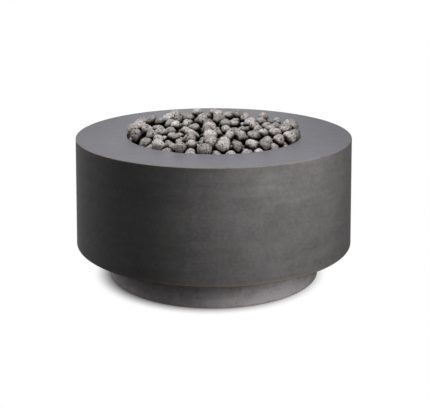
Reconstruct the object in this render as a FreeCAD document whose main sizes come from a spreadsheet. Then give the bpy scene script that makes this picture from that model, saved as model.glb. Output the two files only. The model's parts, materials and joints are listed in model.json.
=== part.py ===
import FreeCAD, Part
import math
import os
import random
import Sketcher

from FreeCAD import Matrix, Placement, Rotation, Vector

# Concrete fire bowl: a drum on a plinth, with a gas burner under a heap of lava stones.
# Millimetres; Z is up from the floor, and the controls are on the +Y side.

SIZES = {
    # concrete drum
    "total_height": 505,
    "drum_diameter": 962,  # across the top
    "drum_height": 382,
    "wall_draft": 1.75,  # degrees, wider at the bottom
    "drum_wall": 25,
    "top_slab": 38,
    "opening_diameter": 610,
    "lip_depth": 35,  # from the top down to the ledge
    "ledge_width": 20,
    "ledge_thickness": 25,
    "ledge_ring": 25,  # thick ring round the opening
    "drum_arris": 3,
    "drum_cove": 25,
    # concrete plinth
    "plinth_diameter": 756,
    "plinth_wall": 55,
    "plinth_rise": 20,  # stands this far up inside the drum
    "plinth_arris": 3,
    "foot_thickness": 2,
    "foot_diameter": 36,
    # carriers between plinth and drum
    "carrier_count": 6,
    "bracket_thickness": 6,
    "bracket_width": 60,
    "bracket_leg": 78,
    "bracket_bend": 6,  # inside radius
    "bracket_inset": 4,  # from the bore of the plinth
    "boss_proud": 5,  # flat seat cast on the drum wall
    "boss_margin": 10,
    "bolt_spacing": 32,
    "bolt_level": 50,  # wall bolts above the plinth top
    "bolt_diameter": 8,
    "bolt_length": 22,
    "bolt_head_across": 13,
    "bolt_head_height": 5.5,
    "bolt_hole_play": 0.5,
    "insert_diameter": 14,
    "insert_length": 18,
    "insert_bore_depth": 17,
    "thread_gap": 0.1,  # radial room in every screwed or cast-in joint
    # fire pan
    "pan_gauge": 1.5,
    "pan_depth": 35,
    "pan_clearance": 3,
    "pan_corner": 8,
    "weep_count": 6,
    "weep_diameter": 8,
    "weep_circle": 470,
    # burner
    "burner_tube": 19,
    "burner_gauge": 1.5,
    "burner_outer": 360,
    "burner_inner": 180,
    "burner_lift": 14,  # above the pan floor
    "burner_arm": 15,  # cross tube, thinner than the rings
    "burner_hub": 36,
    "port_diameter": 3,
    "outer_ports": 24,
    "inner_ports": 12,
    "standoff_diameter": 10,
    # gas train under the pan
    "nipple_diameter": 21,
    "nipple_bore": 15,
    "nipple_socket": 7.5,  # depth in the burner hub
    "nut_across": 32,
    "nut_height": 8,
    "mixer_diameter": 32,
    "mixer_length": 48,
    "mixer_socket": 20,
    "mixer_throat": 12,
    "mixer_hole": 7,
    "pipe_diameter": 16,
    "pipe_bore": 10,
    "elbow_socket": 15,
    "elbow_drop": 12,
    "elbow_radius": 20,
    "elbow_reach": 22,
    "hose_nut_across": 22,
    "hose_nut_length": 18,
    # control niche in the back of the drum
    "niche_level": 300,
    "niche_depth": 48,
    "niche_width": 170,
    "niche_height": 80,
    "niche_corner": 10,
    "cut_overrun": 1,  # the window's cutter starts this far inside the seat
    "panel_overlap": 24,
    "panel_gauge": 2,
    "panel_bolt_inset": 11,
    "panel_bolt_diameter": 6,
    "panel_bolt_length": 12,
    "panel_insert_length": 12,
    "panel_insert_diameter": 9,
    "control_spacing": 90,
    # valve and knob
    "valve_diameter": 34,
    "valve_length": 46,
    "valve_flange_width": 56,
    "valve_flange_height": 34,
    "valve_flange_gauge": 4,
    "valve_screw_spacing": 44,
    "valve_screw_diameter": 4,
    "valve_screw_head": 7,
    "valve_neck_diameter": 22,
    "valve_outlet_rise": 26,
    "valve_outlet_length": 20,
    "valve_magnet_diameter": 18,
    "valve_magnet_length": 24,
    "inlet_setback": 24,  # from the panel to the axis of the inlet
    "inlet_diameter": 30,
    "inlet_drop": 48,
    "inlet_thread": 19,
    "inlet_thread_depth": 16,
    "plug_diameter": 20,
    "plug_small_end": 15,
    "plug_length": 26,
    "plug_setback": 8,
    "plug_port": 7,
    "running_gap": 0.08,
    "stem_diameter": 8,
    "stem_flat": 6,  # across the flat
    "stem_entry": 18,  # of the stem in the plug
    "stem_hole": 14,
    "knob_diameter": 42,
    "knob_depth": 20,
    "knob_edge": 2,
    "knob_gap": 7,
    "knob_socket": 14,
    "knob_flutes": 14,
    "knob_flute_diameter": 8,
    "push_travel": 4,
    # igniter
    "igniter_diameter": 24,
    "igniter_length": 76,
    "igniter_wall": 2,
    "igniter_neck": 20,
    "igniter_neck_length": 7,
    "bezel_diameter": 29,
    "bezel_height": 5,
    "button_diameter": 15,
    "button_proud": 7,
    "button_depth": 6,  # behind the panel face
    "battery_diameter": 14.5,
    "battery_length": 50.5,
    # sensors at the burner
    "sensor_offset": 20,  # from the outer ring's centre line
    "sensor_spread": 23,  # degrees to each side of the back
    "sensor_collar": 14,
    "sensor_collar_height": 4,
    "sensor_drop": 34,
    "electrode_diameter": 9,
    "electrode_rise": 14,
    "electrode_wire": 2.5,
    "electrode_tip": 16,
    "probe_diameter": 6,
    "probe_rise": 34,
    "sensor_nut_across": 17,
    "sensor_nut_height": 6,
    "lead_diameter": 5,
    "capillary_diameter": 3,
    "lead_sag": 60,  # below the sensors
    # lava stones
    "stone_longest": 60,
    "stone_shortest": 38,
    "stone_gap": 0.5,
    "stone_spread": 46,  # least distance between the loose stones on top
    "heap_middle": 47,  # above the drum's top
    "heap_edge": 45,
    "heap_loose": 25,  # the filled bed stays this far below
}

# values worked out from the sizes, as cells with formulas
LEVELS = {
    "drum_base": "Sizes.total_height - Sizes.drum_height",
    "drum_radius": "Sizes.drum_diameter / 2",
    "foot_flare": "Sizes.drum_height * tan(Sizes.wall_draft)",
    "slab_flare": "Sizes.top_slab * tan(Sizes.wall_draft)",
    "opening_radius": "Sizes.opening_diameter / 2",
    "slab_under": "Sizes.total_height - Sizes.top_slab",
    "ledge": "Sizes.total_height - Sizes.lip_depth",
    "ledge_under": "ledge - Sizes.ledge_thickness",
    "plinth_radius": "Sizes.plinth_diameter / 2",
    "plinth_bore": "plinth_radius - Sizes.plinth_wall",
    "plinth_middle": "plinth_radius - Sizes.plinth_wall / 2",
    "plinth_top": "drum_base + Sizes.plinth_rise",
    "boss_face": "drum_radius - Sizes.drum_wall - Sizes.boss_proud",
    "boss_back": "drum_radius - Sizes.drum_wall / 2",
    "bracket_floor": "plinth_top + Sizes.bracket_thickness",
    "bracket_back": "boss_face - Sizes.bracket_thickness",
    "bracket_start": "plinth_bore + Sizes.bracket_inset",
    "bracket_top": "plinth_top + Sizes.bracket_leg",
    "bolt_z": "plinth_top + Sizes.bolt_level",
    "bolt_y": "Sizes.bolt_spacing / 2",
    "pan_under": "ledge - Sizes.pan_depth",
    "pan_floor": "pan_under + Sizes.pan_gauge",
    "pan_rim": "ledge + Sizes.pan_gauge",
    "pan_radius": "opening_radius - Sizes.ledge_width - Sizes.pan_clearance",
    "pan_inside": "pan_radius - Sizes.pan_gauge",
    "pan_flange": "opening_radius - Sizes.pan_clearance",
    "nipple_radius": "Sizes.nipple_diameter / 2",
    "nipple_hole": "nipple_radius + Sizes.thread_gap",
    "burner_z": "pan_floor + Sizes.burner_lift + Sizes.burner_tube / 2",
    "hub_under": "pan_floor + Sizes.nut_height",
    "nipple_top": "hub_under + Sizes.nipple_socket",
    "nut_under": "pan_under - Sizes.nut_height",
    "mixer_under": "nut_under - Sizes.mixer_length",
    "nipple_end": "nut_under - Sizes.mixer_socket",
    "elbow_top": "mixer_under + Sizes.elbow_socket",
    "elbow_bend": "mixer_under - Sizes.elbow_drop",
    "elbow_z": "elbow_bend - Sizes.elbow_radius",
    "hose_start": "Sizes.elbow_radius + Sizes.elbow_reach",
    "niche_flare": "(Sizes.total_height - Sizes.niche_level) * tan(Sizes.wall_draft)",
    "seat": "drum_radius + niche_flare - Sizes.niche_depth",
    "panel_back": "seat - Sizes.panel_gauge",
    "panel_width": "Sizes.niche_width + 2 * Sizes.panel_overlap",
    "panel_height": "Sizes.niche_height + 2 * Sizes.panel_overlap",
    "panel_bolt_x": "panel_width / 2 - Sizes.panel_bolt_inset",
    "panel_bolt_z": "panel_height / 2 - Sizes.panel_bolt_inset",
    "panel_hole": "Sizes.panel_insert_diameter / 2 + Sizes.thread_gap",
    "control_x": "Sizes.control_spacing / 2",
    "inlet_y": "panel_back - Sizes.inlet_setback",
    "inlet_face": "Sizes.niche_level - Sizes.inlet_drop",
    "valve_back": "panel_back - Sizes.valve_length",
    "outlet_z": "Sizes.niche_level + Sizes.valve_outlet_rise",
    "hose_end": "valve_back - Sizes.valve_outlet_length",
    "magnet_back": "valve_back - Sizes.valve_magnet_length",
    "plug_front": "panel_back - Sizes.plug_setback",
    "knob_back": "seat + Sizes.knob_gap",
    "sensor_circle": "Sizes.burner_outer / 2 + Sizes.sensor_offset",
    "sensor_under": "pan_under - Sizes.sensor_drop",
    "igniter_back": "panel_back - Sizes.igniter_length",
}

doc = FreeCAD.newDocument("FireBowl")
nodes = {}


def fill_sheet(name, cells):
    sheet = doc.addObject("Spreadsheet::Sheet", name)
    for row, (alias, content) in enumerate(cells.items(), start=1):
        sheet.set(f"A{row}", alias)
        sheet.set(f"B{row}", content)
        sheet.setAlias(f"B{row}", alias)
    doc.recompute()
    return sheet


sizes = fill_sheet("Sizes", {alias: str(number) for alias, number in SIZES.items()})
levels = fill_sheet("Levels", {alias: "=" + formula for alias, formula in LEVELS.items()})


def size(alias):
    return float(getattr(sizes, alias))


def level(alias):
    return float(getattr(levels, alias))


def cell(name):
    """Full reference of a size or a level, for an expression."""
    if name in SIZES:
        return "Sizes." + name
    if name in LEVELS:
        return "Levels." + name
    return name


def bind(thing, **properties):
    """Bind properties to cells; x, y and z stand for the placement's base."""
    for prop, expression in properties.items():
        path = "Placement.Base." + prop if prop in ("x", "y", "z") else prop
        thing.setExpression(path, cell(expression))


def keep(thing, label):
    """Register a finished sub-part under its node name."""
    thing.Label = label
    nodes[label] = thing
    return thing


# PartDesign helpers


def new_body(name):
    return doc.addObject("PartDesign::Body", name)


def origin_feature(body, role):
    return next(f for f in body.Origin.OriginFeatures if f.Role == role)


def new_sketch(body, name, plane, offset=None):
    sketch = body.newObject("Sketcher::SketchObject", name)
    sketch.AttachmentSupport = [(origin_feature(body, plane), "")]
    sketch.MapMode = "FlatFace"
    if offset:
        sketch.setExpression("AttachmentOffset.Base.z", cell(offset))
    return sketch


def locate(sketch, geometry, point, start, across, up):
    """Place a point of the sketch by its two distances from the origin."""
    for kind, value, expression in (("DistanceX", start.x, across), ("DistanceY", start.y, up)):
        if expression == "0":
            axis = -2 if kind == "DistanceX" else -1
            sketch.addConstraint(Sketcher.Constraint("PointOnObject", geometry, point, axis))
            continue
        index = sketch.addConstraint(Sketcher.Constraint(kind, -1, 1, geometry, point, value))
        sketch.setExpression(f"Constraints[{index}]", cell(expression))


def outline(sketch, corners):
    """Closed polygon; each corner is a pair of expressions."""
    count = len(corners)
    start = [Vector(200 + 100 * math.cos(i * math.tau / count),
                    200 + 100 * math.sin(i * math.tau / count), 0) for i in range(count)]
    for i in range(count):
        sketch.addGeometry(Part.LineSegment(start[i], start[(i + 1) % count]))
    for i in range(count):
        sketch.addConstraint(Sketcher.Constraint("Coincident", i, 2, (i + 1) % count, 1))
    for i, (across, up) in enumerate(corners):
        locate(sketch, i, 1, start[i], across, up)
    doc.recompute()
    return sketch


def circles(sketch, rounds):
    """Circles given as (across, up, radius) expressions."""
    for i, (across, up, radius) in enumerate(rounds):
        middle = Vector(50 + 40 * i, 50, 0)
        sketch.addGeometry(Part.Circle(middle, Vector(0, 0, 1), 10))
        locate(sketch, i, 3, middle, across, up)
        index = sketch.addConstraint(Sketcher.Constraint("Radius", i, 10))
        sketch.setExpression(f"Constraints[{index}]", cell(radius))
    doc.recompute()
    return sketch


def revolve(body, sketch):
    feature = body.newObject("PartDesign::Revolution", sketch.Name + "Turn")
    feature.Profile = sketch
    feature.ReferenceAxis = (sketch, ["V_Axis"])
    feature.Angle = 360
    doc.recompute()
    return feature


def pad(body, sketch, length, midplane=False, back=False):
    feature = body.newObject("PartDesign::Pad", sketch.Name + "Pad")
    feature.Profile = sketch
    feature.Midplane = midplane
    feature.Reversed = back
    feature.setExpression("Length", cell(length))
    doc.recompute()
    return feature


def pocket(body, sketch, length, midplane=False, back=False):
    feature = body.newObject("PartDesign::Pocket", sketch.Name + "Pocket")
    feature.Profile = sketch
    feature.Midplane = midplane
    feature.Reversed = back
    feature.setExpression("Length", cell(length))
    doc.recompute()
    return feature


def polar(body, features, count):
    pattern = body.newObject("PartDesign::PolarPattern", features[0].Name + "Round")
    pattern.Originals = features
    pattern.Axis = (origin_feature(body, "Z_Axis"), [""])
    pattern.Angle = 360
    pattern.setExpression("Occurrences", cell(count))
    body.Tip = pattern
    doc.recompute()
    return pattern


def round_corners(body, base, sketch, corners, radius):
    """Fillet the ring edges that the given corners of the profile sweep."""
    names = []
    for corner in corners:
        point = sketch.Geometry[corner].StartPoint
        for number, edge in enumerate(base.Shape.Edges, start=1):
            ring = edge.Curve
            if not isinstance(ring, Part.Circle) or abs(ring.Radius - point.x) > 0.01:
                continue
            if abs(ring.Center.z - point.y) < 0.01 and math.hypot(ring.Center.x, ring.Center.y) < 0.01:
                names.append(f"Edge{number}")
    fillet = body.newObject("PartDesign::Fillet", f"{sketch.Name}Round{corners[0]}")
    fillet.Base = (base, names)
    fillet.setExpression("Radius", cell(radius))
    doc.recompute()
    return fillet


def round_upright_edges(body, base, half_width, radius):
    """Fillet the four edges along Y of a window that is cut through the back."""
    names = []
    for number, edge in enumerate(base.Shape.Edges, start=1):
        box = edge.BoundBox
        if box.YLength > 5 and box.XLength < 0.01 and box.ZLength < 0.01:
            if abs(abs(box.XMin) - half_width) < 0.01 and box.YMin > 0:
                names.append(f"Edge{number}")
    fillet = body.newObject("PartDesign::Fillet", "WindowRound")
    fillet.Base = (base, names)
    fillet.setExpression("Radius", cell(radius))
    doc.recompute()
    return fillet


# Part helpers


def cylinder(name, radius, height, turn=None, **base):
    thing = doc.addObject("Part::Cylinder", name)
    if turn:
        thing.Placement = Placement(Vector(), turn)
    bind(thing, Radius=radius, Height=height, **base)
    return thing


def cone(name, radius, end_radius, height, turn=None, **base):
    thing = doc.addObject("Part::Cone", name)
    if turn:
        thing.Placement = Placement(Vector(), turn)
    bind(thing, Radius1=radius, Radius2=end_radius, Height=height, **base)
    return thing


def prism(name, across, height, turn=None, **base):
    """Hexagon given by its size across the flats."""
    thing = doc.addObject("Part::Prism", name)
    thing.Polygon = 6
    if turn:
        thing.Placement = Placement(Vector(), turn)
    bind(thing, Circumradius=f"{cell(across)} / 2 / cos(30)", Height=height, **base)
    return thing


def box(name, length, width, height, **base):
    thing = doc.addObject("Part::Box", name)
    bind(thing, Length=length, Width=width, Height=height, **base)
    return thing


def torus(name, diameter, tube_radius, height):
    thing = doc.addObject("Part::Torus", name)
    bind(thing, Radius1=f"{cell(diameter)} / 2", Radius2=tube_radius, z=height)
    return thing


def fuse(name, *things):
    joined = doc.addObject("Part::MultiFuse", name)
    joined.Shapes = list(things)
    joined.Refine = False
    doc.recompute()
    return joined


def cut(name, thing, *tools):
    tool = tools[0] if len(tools) == 1 else fuse(name + "Tools", *tools)
    result = doc.addObject("Part::Cut", name)
    result.Base = thing
    result.Tool = tool
    result.Refine = False
    doc.recompute()
    return result


def group(label, shapes):
    """One node with several separate solids."""
    feature = doc.addObject("Part::Feature", label)
    feature.Shape = Part.makeCompound(shapes)
    feature.Placement = Placement()
    return keep(feature, label)


def placed(shape, placement):
    """Copy of a shape, moved."""
    moved = shape.copy()
    moved.Placement = placement.multiply(shape.Placement)
    return moved


def about_z(angle):
    return Placement(Vector(), Rotation(Vector(0, 0, 1), angle))


def carrier_angles(offset=0):
    count = int(size("carrier_count"))
    return [offset + 360 * i / count for i in range(count)]


TO_BACK = Rotation(Vector(1, 0, 0), -90)  # turns +Z to +Y
TO_FRONT = Rotation(Vector(1, 0, 0), 90)  # turns +Z to -Y
TO_SIDE = Rotation(Vector(0, 1, 0), 90) * Rotation(Vector(0, 0, 1), 180)  # turns +Z to +X, seam on top


ARC_SHARE = 0.45  # of a run that an arc at its end may take


def route(points):
    """Wire of straight runs joined by tangent arcs, as wide as the runs allow."""
    edges = []
    start = points[0]
    for before, corner, after in zip(points, points[1:], points[2:]):
        come = (before - corner).normalize()
        leave = (after - corner).normalize()
        reach = ARC_SHARE * min(before.distanceToPoint(corner), after.distanceToPoint(corner))
        first = corner + come * reach
        last = corner + leave * reach
        half_turn = (math.pi - come.getAngle(leave)) / 2
        radius = reach / math.tan(half_turn)
        centre = corner + (come + leave).normalize() * (radius / math.cos(half_turn))
        middle = centre + (corner - centre).normalize() * radius
        edges.append(Part.LineSegment(start, first).toShape())
        edges.append(Part.Arc(first, middle, last).toShape())
        start = last
    edges.append(Part.LineSegment(start, points[-1]).toShape())
    return Part.Wire(edges)


def tube_along(label, points, radius, bore=0):
    """Round tube or wire along a route."""
    path = route(points)
    along = (points[1] - points[0]).normalize()
    def swept(r):
        ring = Part.Wire([Part.Circle(points[0], along, r).toShape()])
        return path.makePipeShell([ring], True, True)
    shape = swept(radius)
    if bore:
        shape = shape.cut(swept(bore))
    feature = doc.addObject("Part::Feature", label)
    feature.Shape = shape
    feature.Placement = Placement()
    return keep(feature, label)


# Drum


def build_drum():
    body = new_body("Drum")
    profile = outline(new_sketch(body, "DrumProfile", "XZ_Plane"), [
        ("opening_radius", "total_height"),
        ("drum_radius", "total_height"),
        ("Levels.drum_radius + Levels.foot_flare", "drum_base"),
        ("Levels.drum_radius + Levels.foot_flare - Sizes.drum_wall", "drum_base"),
        ("Levels.drum_radius + Levels.slab_flare - Sizes.drum_wall", "slab_under"),
        ("Levels.opening_radius + Sizes.ledge_ring", "slab_under"),
        ("Levels.opening_radius + Sizes.ledge_ring", "ledge_under"),
        ("Levels.opening_radius - Sizes.ledge_width", "ledge_under"),
        ("Levels.opening_radius - Sizes.ledge_width", "ledge"),
        ("opening_radius", "ledge"),
    ])
    turned = revolve(body, profile)
    eased = round_corners(body, turned, profile, [0, 1, 2, 3], "drum_arris")
    round_corners(body, eased, profile, [4], "drum_cove")
    # flat seats on the wall for the carrier brackets, with holes for their inserts
    boss_half = "(Sizes.bracket_width / 2 + Sizes.boss_margin)"
    seat = new_sketch(body, "BossPlan", "XY_Plane", "Levels.plinth_top - Sizes.boss_margin")
    boss_plan = rectangle(seat, "boss_face", "boss_back", boss_half)
    boss = pad(body, boss_plan, "Sizes.bracket_leg + 2 * Sizes.boss_margin")
    hole = "Sizes.insert_diameter / 2 + Sizes.thread_gap"
    insert_plan = circles(new_sketch(body, "BossHoles", "YZ_Plane", "boss_face"), [
        ("bolt_y", "bolt_z", hole), ("-Levels.bolt_y", "bolt_z", hole)])
    holes = pocket(body, insert_plan, "insert_length", back=True)
    polar(body, [boss, holes], "carrier_count")
    # flat seat for the control panel, and the window through it
    seat_half = "(Levels.panel_width / 2 + Sizes.boss_margin)"
    plan = new_sketch(body, "SeatPlan", "XY_Plane",
                      "Sizes.niche_level - Levels.panel_height / 2 - Sizes.boss_margin")
    seat_back = "Levels.drum_radius - Sizes.drum_wall / 2"
    outline(plan, [("-" + seat_half, "seat"), (seat_half, "seat"),
                   (seat_half, "Levels.seat + Sizes.niche_depth / 2"),
                   ("panel_bolt_x", seat_back), ("-Levels.panel_bolt_x", seat_back),
                   ("-" + seat_half, "Levels.seat + Sizes.niche_depth / 2")])
    pad(body, plan, "Levels.panel_height + 2 * Sizes.boss_margin")
    return body


def rectangle(sketch, near, far, half):
    """Rectangle from one distance along X to another, even about X."""
    return outline(sketch, [(near, "-" + half), (far, "-" + half), (far, half), (near, half)])


def build_shell():
    body = build_drum()
    half_width = "(Sizes.niche_width / 2)"
    low = "(Sizes.niche_level - Sizes.niche_height / 2)"
    high = "(Sizes.niche_level + Sizes.niche_height / 2)"
    window = outline(new_sketch(body, "Window", "XZ_Plane", "Sizes.cut_overrun - Levels.seat"), [
        ("-" + half_width, low), (half_width, low), (half_width, high), ("-" + half_width, high)])
    opened = pocket(body, window, "Sizes.niche_depth * 2")
    round_upright_edges(body, opened, size("niche_width") / 2, "niche_corner")
    corners = [(sx + "Levels.panel_bolt_x", f"Sizes.niche_level {sz} Levels.panel_bolt_z", "panel_hole")
               for sx in ("", "-") for sz in ("+", "-")]
    inserts = circles(new_sketch(body, "PanelHoles", "XZ_Plane", "-Levels.seat"), corners)
    pocket(body, inserts, "panel_insert_length")
    return keep(body, "drum_shell")


# Plinth and feet


def build_plinth():
    body = new_body("Plinth")
    profile = outline(new_sketch(body, "PlinthProfile", "XZ_Plane"), [
        ("plinth_bore", "foot_thickness"), ("plinth_radius", "foot_thickness"),
        ("plinth_radius", "plinth_top"), ("plinth_bore", "plinth_top")])
    turned = revolve(body, profile)
    round_corners(body, turned, profile, [0, 1, 2, 3], "plinth_arris")
    hole = "Sizes.insert_diameter / 2 + Sizes.thread_gap"
    plan = circles(new_sketch(body, "PlinthHoles", "XY_Plane", "plinth_top"), [
        ("plinth_middle", "bolt_y", hole), ("plinth_middle", "-Levels.bolt_y", hole)])
    polar(body, [pocket(body, plan, "insert_length")], "carrier_count")
    keep(body, "plinth_ring")
    foot = cylinder("Foot", "Sizes.foot_diameter / 2", "foot_thickness", x="plinth_middle")
    doc.recompute()
    half_step = 180 / size("carrier_count")
    group("foot_pads", [placed(foot.Shape, about_z(a)) for a in carrier_angles(half_step)])


# Carrier brackets with their bolts and inserts


def build_carriers():
    body = new_body("Bracket")
    profile = outline(new_sketch(body, "BracketProfile", "XZ_Plane"), [
        ("bracket_start", "plinth_top"), ("boss_face", "plinth_top"), ("boss_face", "bracket_top"),
        ("bracket_back", "bracket_top"), ("bracket_back", "bracket_floor"),
        ("bracket_start", "bracket_floor")])
    plate = pad(body, profile, "bracket_width", midplane=True)
    bend = round_bend(body, plate, "bracket_back", "bracket_floor", "bracket_bend")
    round_bend(body, bend, "boss_face", "plinth_top", "Sizes.bracket_bend + Sizes.bracket_thickness")
    hole = "Sizes.bolt_diameter / 2 + Sizes.bolt_hole_play"
    wall = circles(new_sketch(body, "WallHoles", "YZ_Plane", "boss_face"), [
        ("bolt_y", "bolt_z", hole), ("-Levels.bolt_y", "bolt_z", hole)])
    pocket(body, wall, "bracket_thickness")
    floor = circles(new_sketch(body, "FloorHoles", "XY_Plane", "bracket_floor"), [
        ("plinth_middle", "bolt_y", hole), ("plinth_middle", "-Levels.bolt_y", hole)])
    pocket(body, floor, "bracket_thickness")
    turns = carrier_angles()
    group("carrier_brackets", [placed(body.Shape, about_z(a)) for a in turns])

    head = prism("BoltHead", "bolt_head_across", "bolt_head_height")
    shank = cylinder("BoltShank", "Sizes.bolt_diameter / 2",
                     "Sizes.bolt_length + Sizes.bolt_head_height / 2", z="-Sizes.bolt_length")
    bolt = fuse("Bolt", head, shank)
    sleeve = cylinder("Sleeve", "Sizes.insert_diameter / 2", "insert_length", z="-Sizes.insert_length")
    bore = cylinder("SleeveBore", "Sizes.bolt_diameter / 2 + Sizes.thread_gap", "insert_bore_depth",
                    z="-Sizes.insert_bore_depth")
    insert = cut("Insert", sleeve, bore)
    bolts = []
    inserts = []
    outward = Rotation(Vector(0, 1, 0), -90)  # the bolt's shank points along +X
    for angle in turns:
        for side in (-1, 1):
            y = side * level("bolt_y")
            at_wall = Vector(level("boss_face"), y, level("bolt_z"))
            at_floor = Vector(level("plinth_middle"), y, level("plinth_top"))
            lift = size("bracket_thickness")
            bolts.append((angle, Placement(at_wall - Vector(lift, 0, 0), outward), bolt))
            bolts.append((angle, Placement(at_floor + Vector(0, 0, lift), Rotation()), bolt))
            inserts.append((angle, Placement(at_wall, outward), insert))
            inserts.append((angle, Placement(at_floor, Rotation()), insert))
    for label, items in (("carrier_bolts", bolts), ("cast_in_inserts", inserts)):
        group(label, [placed(thing.Shape, about_z(a).multiply(p)) for a, p, thing in items])


def round_bend(body, base, x_level, z_level, radius):
    """Fillet the edge along Y at the given place of the bracket."""
    x = level(x_level)
    z = level(z_level)
    names = [f"Edge{n}" for n, e in enumerate(base.Shape.Edges, start=1)
             if e.BoundBox.YLength > 1 and math.hypot(e.CenterOfMass.x - x, e.CenterOfMass.z - z) < 0.01]
    fillet = body.newObject("PartDesign::Fillet", base.Name + "Bend")
    fillet.Base = (base, names)
    fillet.setExpression("Radius", cell(radius))
    doc.recompute()
    return fillet


# Fire pan


def sensor_spots():
    """Where the spark electrode and the probe go through the pan."""
    spread = math.radians(size("sensor_spread"))
    circle = level("sensor_circle")
    return [(side * circle * math.sin(spread), circle * math.cos(spread)) for side in (1, -1)]


def build_pan():
    body = new_body("Pan")
    profile = outline(new_sketch(body, "PanProfile", "XZ_Plane"), [
        ("nipple_hole", "pan_under"), ("pan_radius", "pan_under"), ("pan_radius", "ledge"),
        ("pan_flange", "ledge"), ("pan_flange", "pan_rim"), ("pan_inside", "pan_rim"),
        ("pan_inside", "pan_floor"), ("nipple_hole", "pan_floor")])
    turned = revolve(body, profile)
    outer = round_corners(body, turned, profile, [1], "pan_corner")
    round_corners(body, outer, profile, [6], "Sizes.pan_corner - Sizes.pan_gauge")
    weeps = circles(new_sketch(body, "Weeps", "XY_Plane", "pan_floor"), [
        ("Sizes.weep_circle / 2", "0", "Sizes.weep_diameter / 2")])
    polar(body, [pocket(body, weeps, "pan_gauge")], "weep_count")
    across = "Levels.sensor_circle * sin(Sizes.sensor_spread)"
    up = "Levels.sensor_circle * cos(Sizes.sensor_spread)"
    hole = "Sizes.electrode_diameter / 2 + Sizes.thread_gap"
    sensors = circles(new_sketch(body, "SensorHoles", "XY_Plane", "pan_floor"), [
        (across, up, hole), ("-" + across, up, hole)])
    pocket(body, sensors, "pan_gauge")
    return keep(body, "fire_pan")


# Burner and the gas train under the pan


def port_drills(count, diameter, offset):
    """Drills for a ring of ports in the top of a burner tube."""
    number = int(size(count))
    tube = size("burner_tube")
    drills = []
    for i in range(number):
        start = Vector(size(diameter) / 2, 0, level("burner_z") + tube / 4)
        drill = Part.makeCylinder(size("port_diameter") / 2, tube / 2, start)
        drills.append(placed(drill, about_z(offset + 360 * i / number)))
    return drills


def build_burner():
    tube = "Sizes.burner_tube / 2"
    hollow = "Sizes.burner_tube / 2 - Sizes.burner_gauge"
    arm = "Sizes.burner_arm / 2"
    arm_hollow = "Sizes.burner_arm / 2 - Sizes.burner_gauge"
    rings = fuse(
        "BurnerTubes",
        torus("OuterRing", "burner_outer", tube, "burner_z"),
        torus("InnerRing", "burner_inner", tube, "burner_z"),
        cylinder("CrossTube", arm, "burner_outer", TO_SIDE, x="-Sizes.burner_outer / 2", z="burner_z"),
        cylinder("Hub", "Sizes.burner_hub / 2", "Levels.burner_z + Sizes.burner_tube / 2 - Levels.hub_under",
                 z="hub_under"))
    ways = fuse(
        "BurnerWays",
        torus("OuterWay", "burner_outer", hollow, "burner_z"),
        torus("InnerWay", "burner_inner", hollow, "burner_z"),
        cylinder("CrossWay", arm_hollow, "burner_outer", TO_SIDE, x="-Sizes.burner_outer / 2", z="burner_z"),
        cylinder("HubWay", "Sizes.nipple_bore / 2", "Levels.burner_z - Levels.hub_under", z="hub_under"),
        cylinder("HubSocket", "nipple_hole", "nipple_socket", z="hub_under"))
    welded = cut("BurnerHollow", rings, ways)
    drills = (port_drills("outer_ports", "burner_outer", 180 / size("outer_ports"))
              + port_drills("inner_ports", "burner_inner", 180 / size("inner_ports")))
    burner = doc.addObject("Part::Feature", "Burner")
    burner.Shape = welded.Shape.cut(drills)
    burner.Placement = Placement()
    keep(burner, "ring_burner")
    post = cylinder("Post", "Sizes.standoff_diameter / 2", "Sizes.burner_lift - Sizes.stone_gap",
                    x="Sizes.burner_outer / 2", z="pan_floor")
    doc.recompute()
    group("burner_standoffs", [placed(post.Shape, about_z(a)) for a in (45, 135, 225, 315)])


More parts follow.
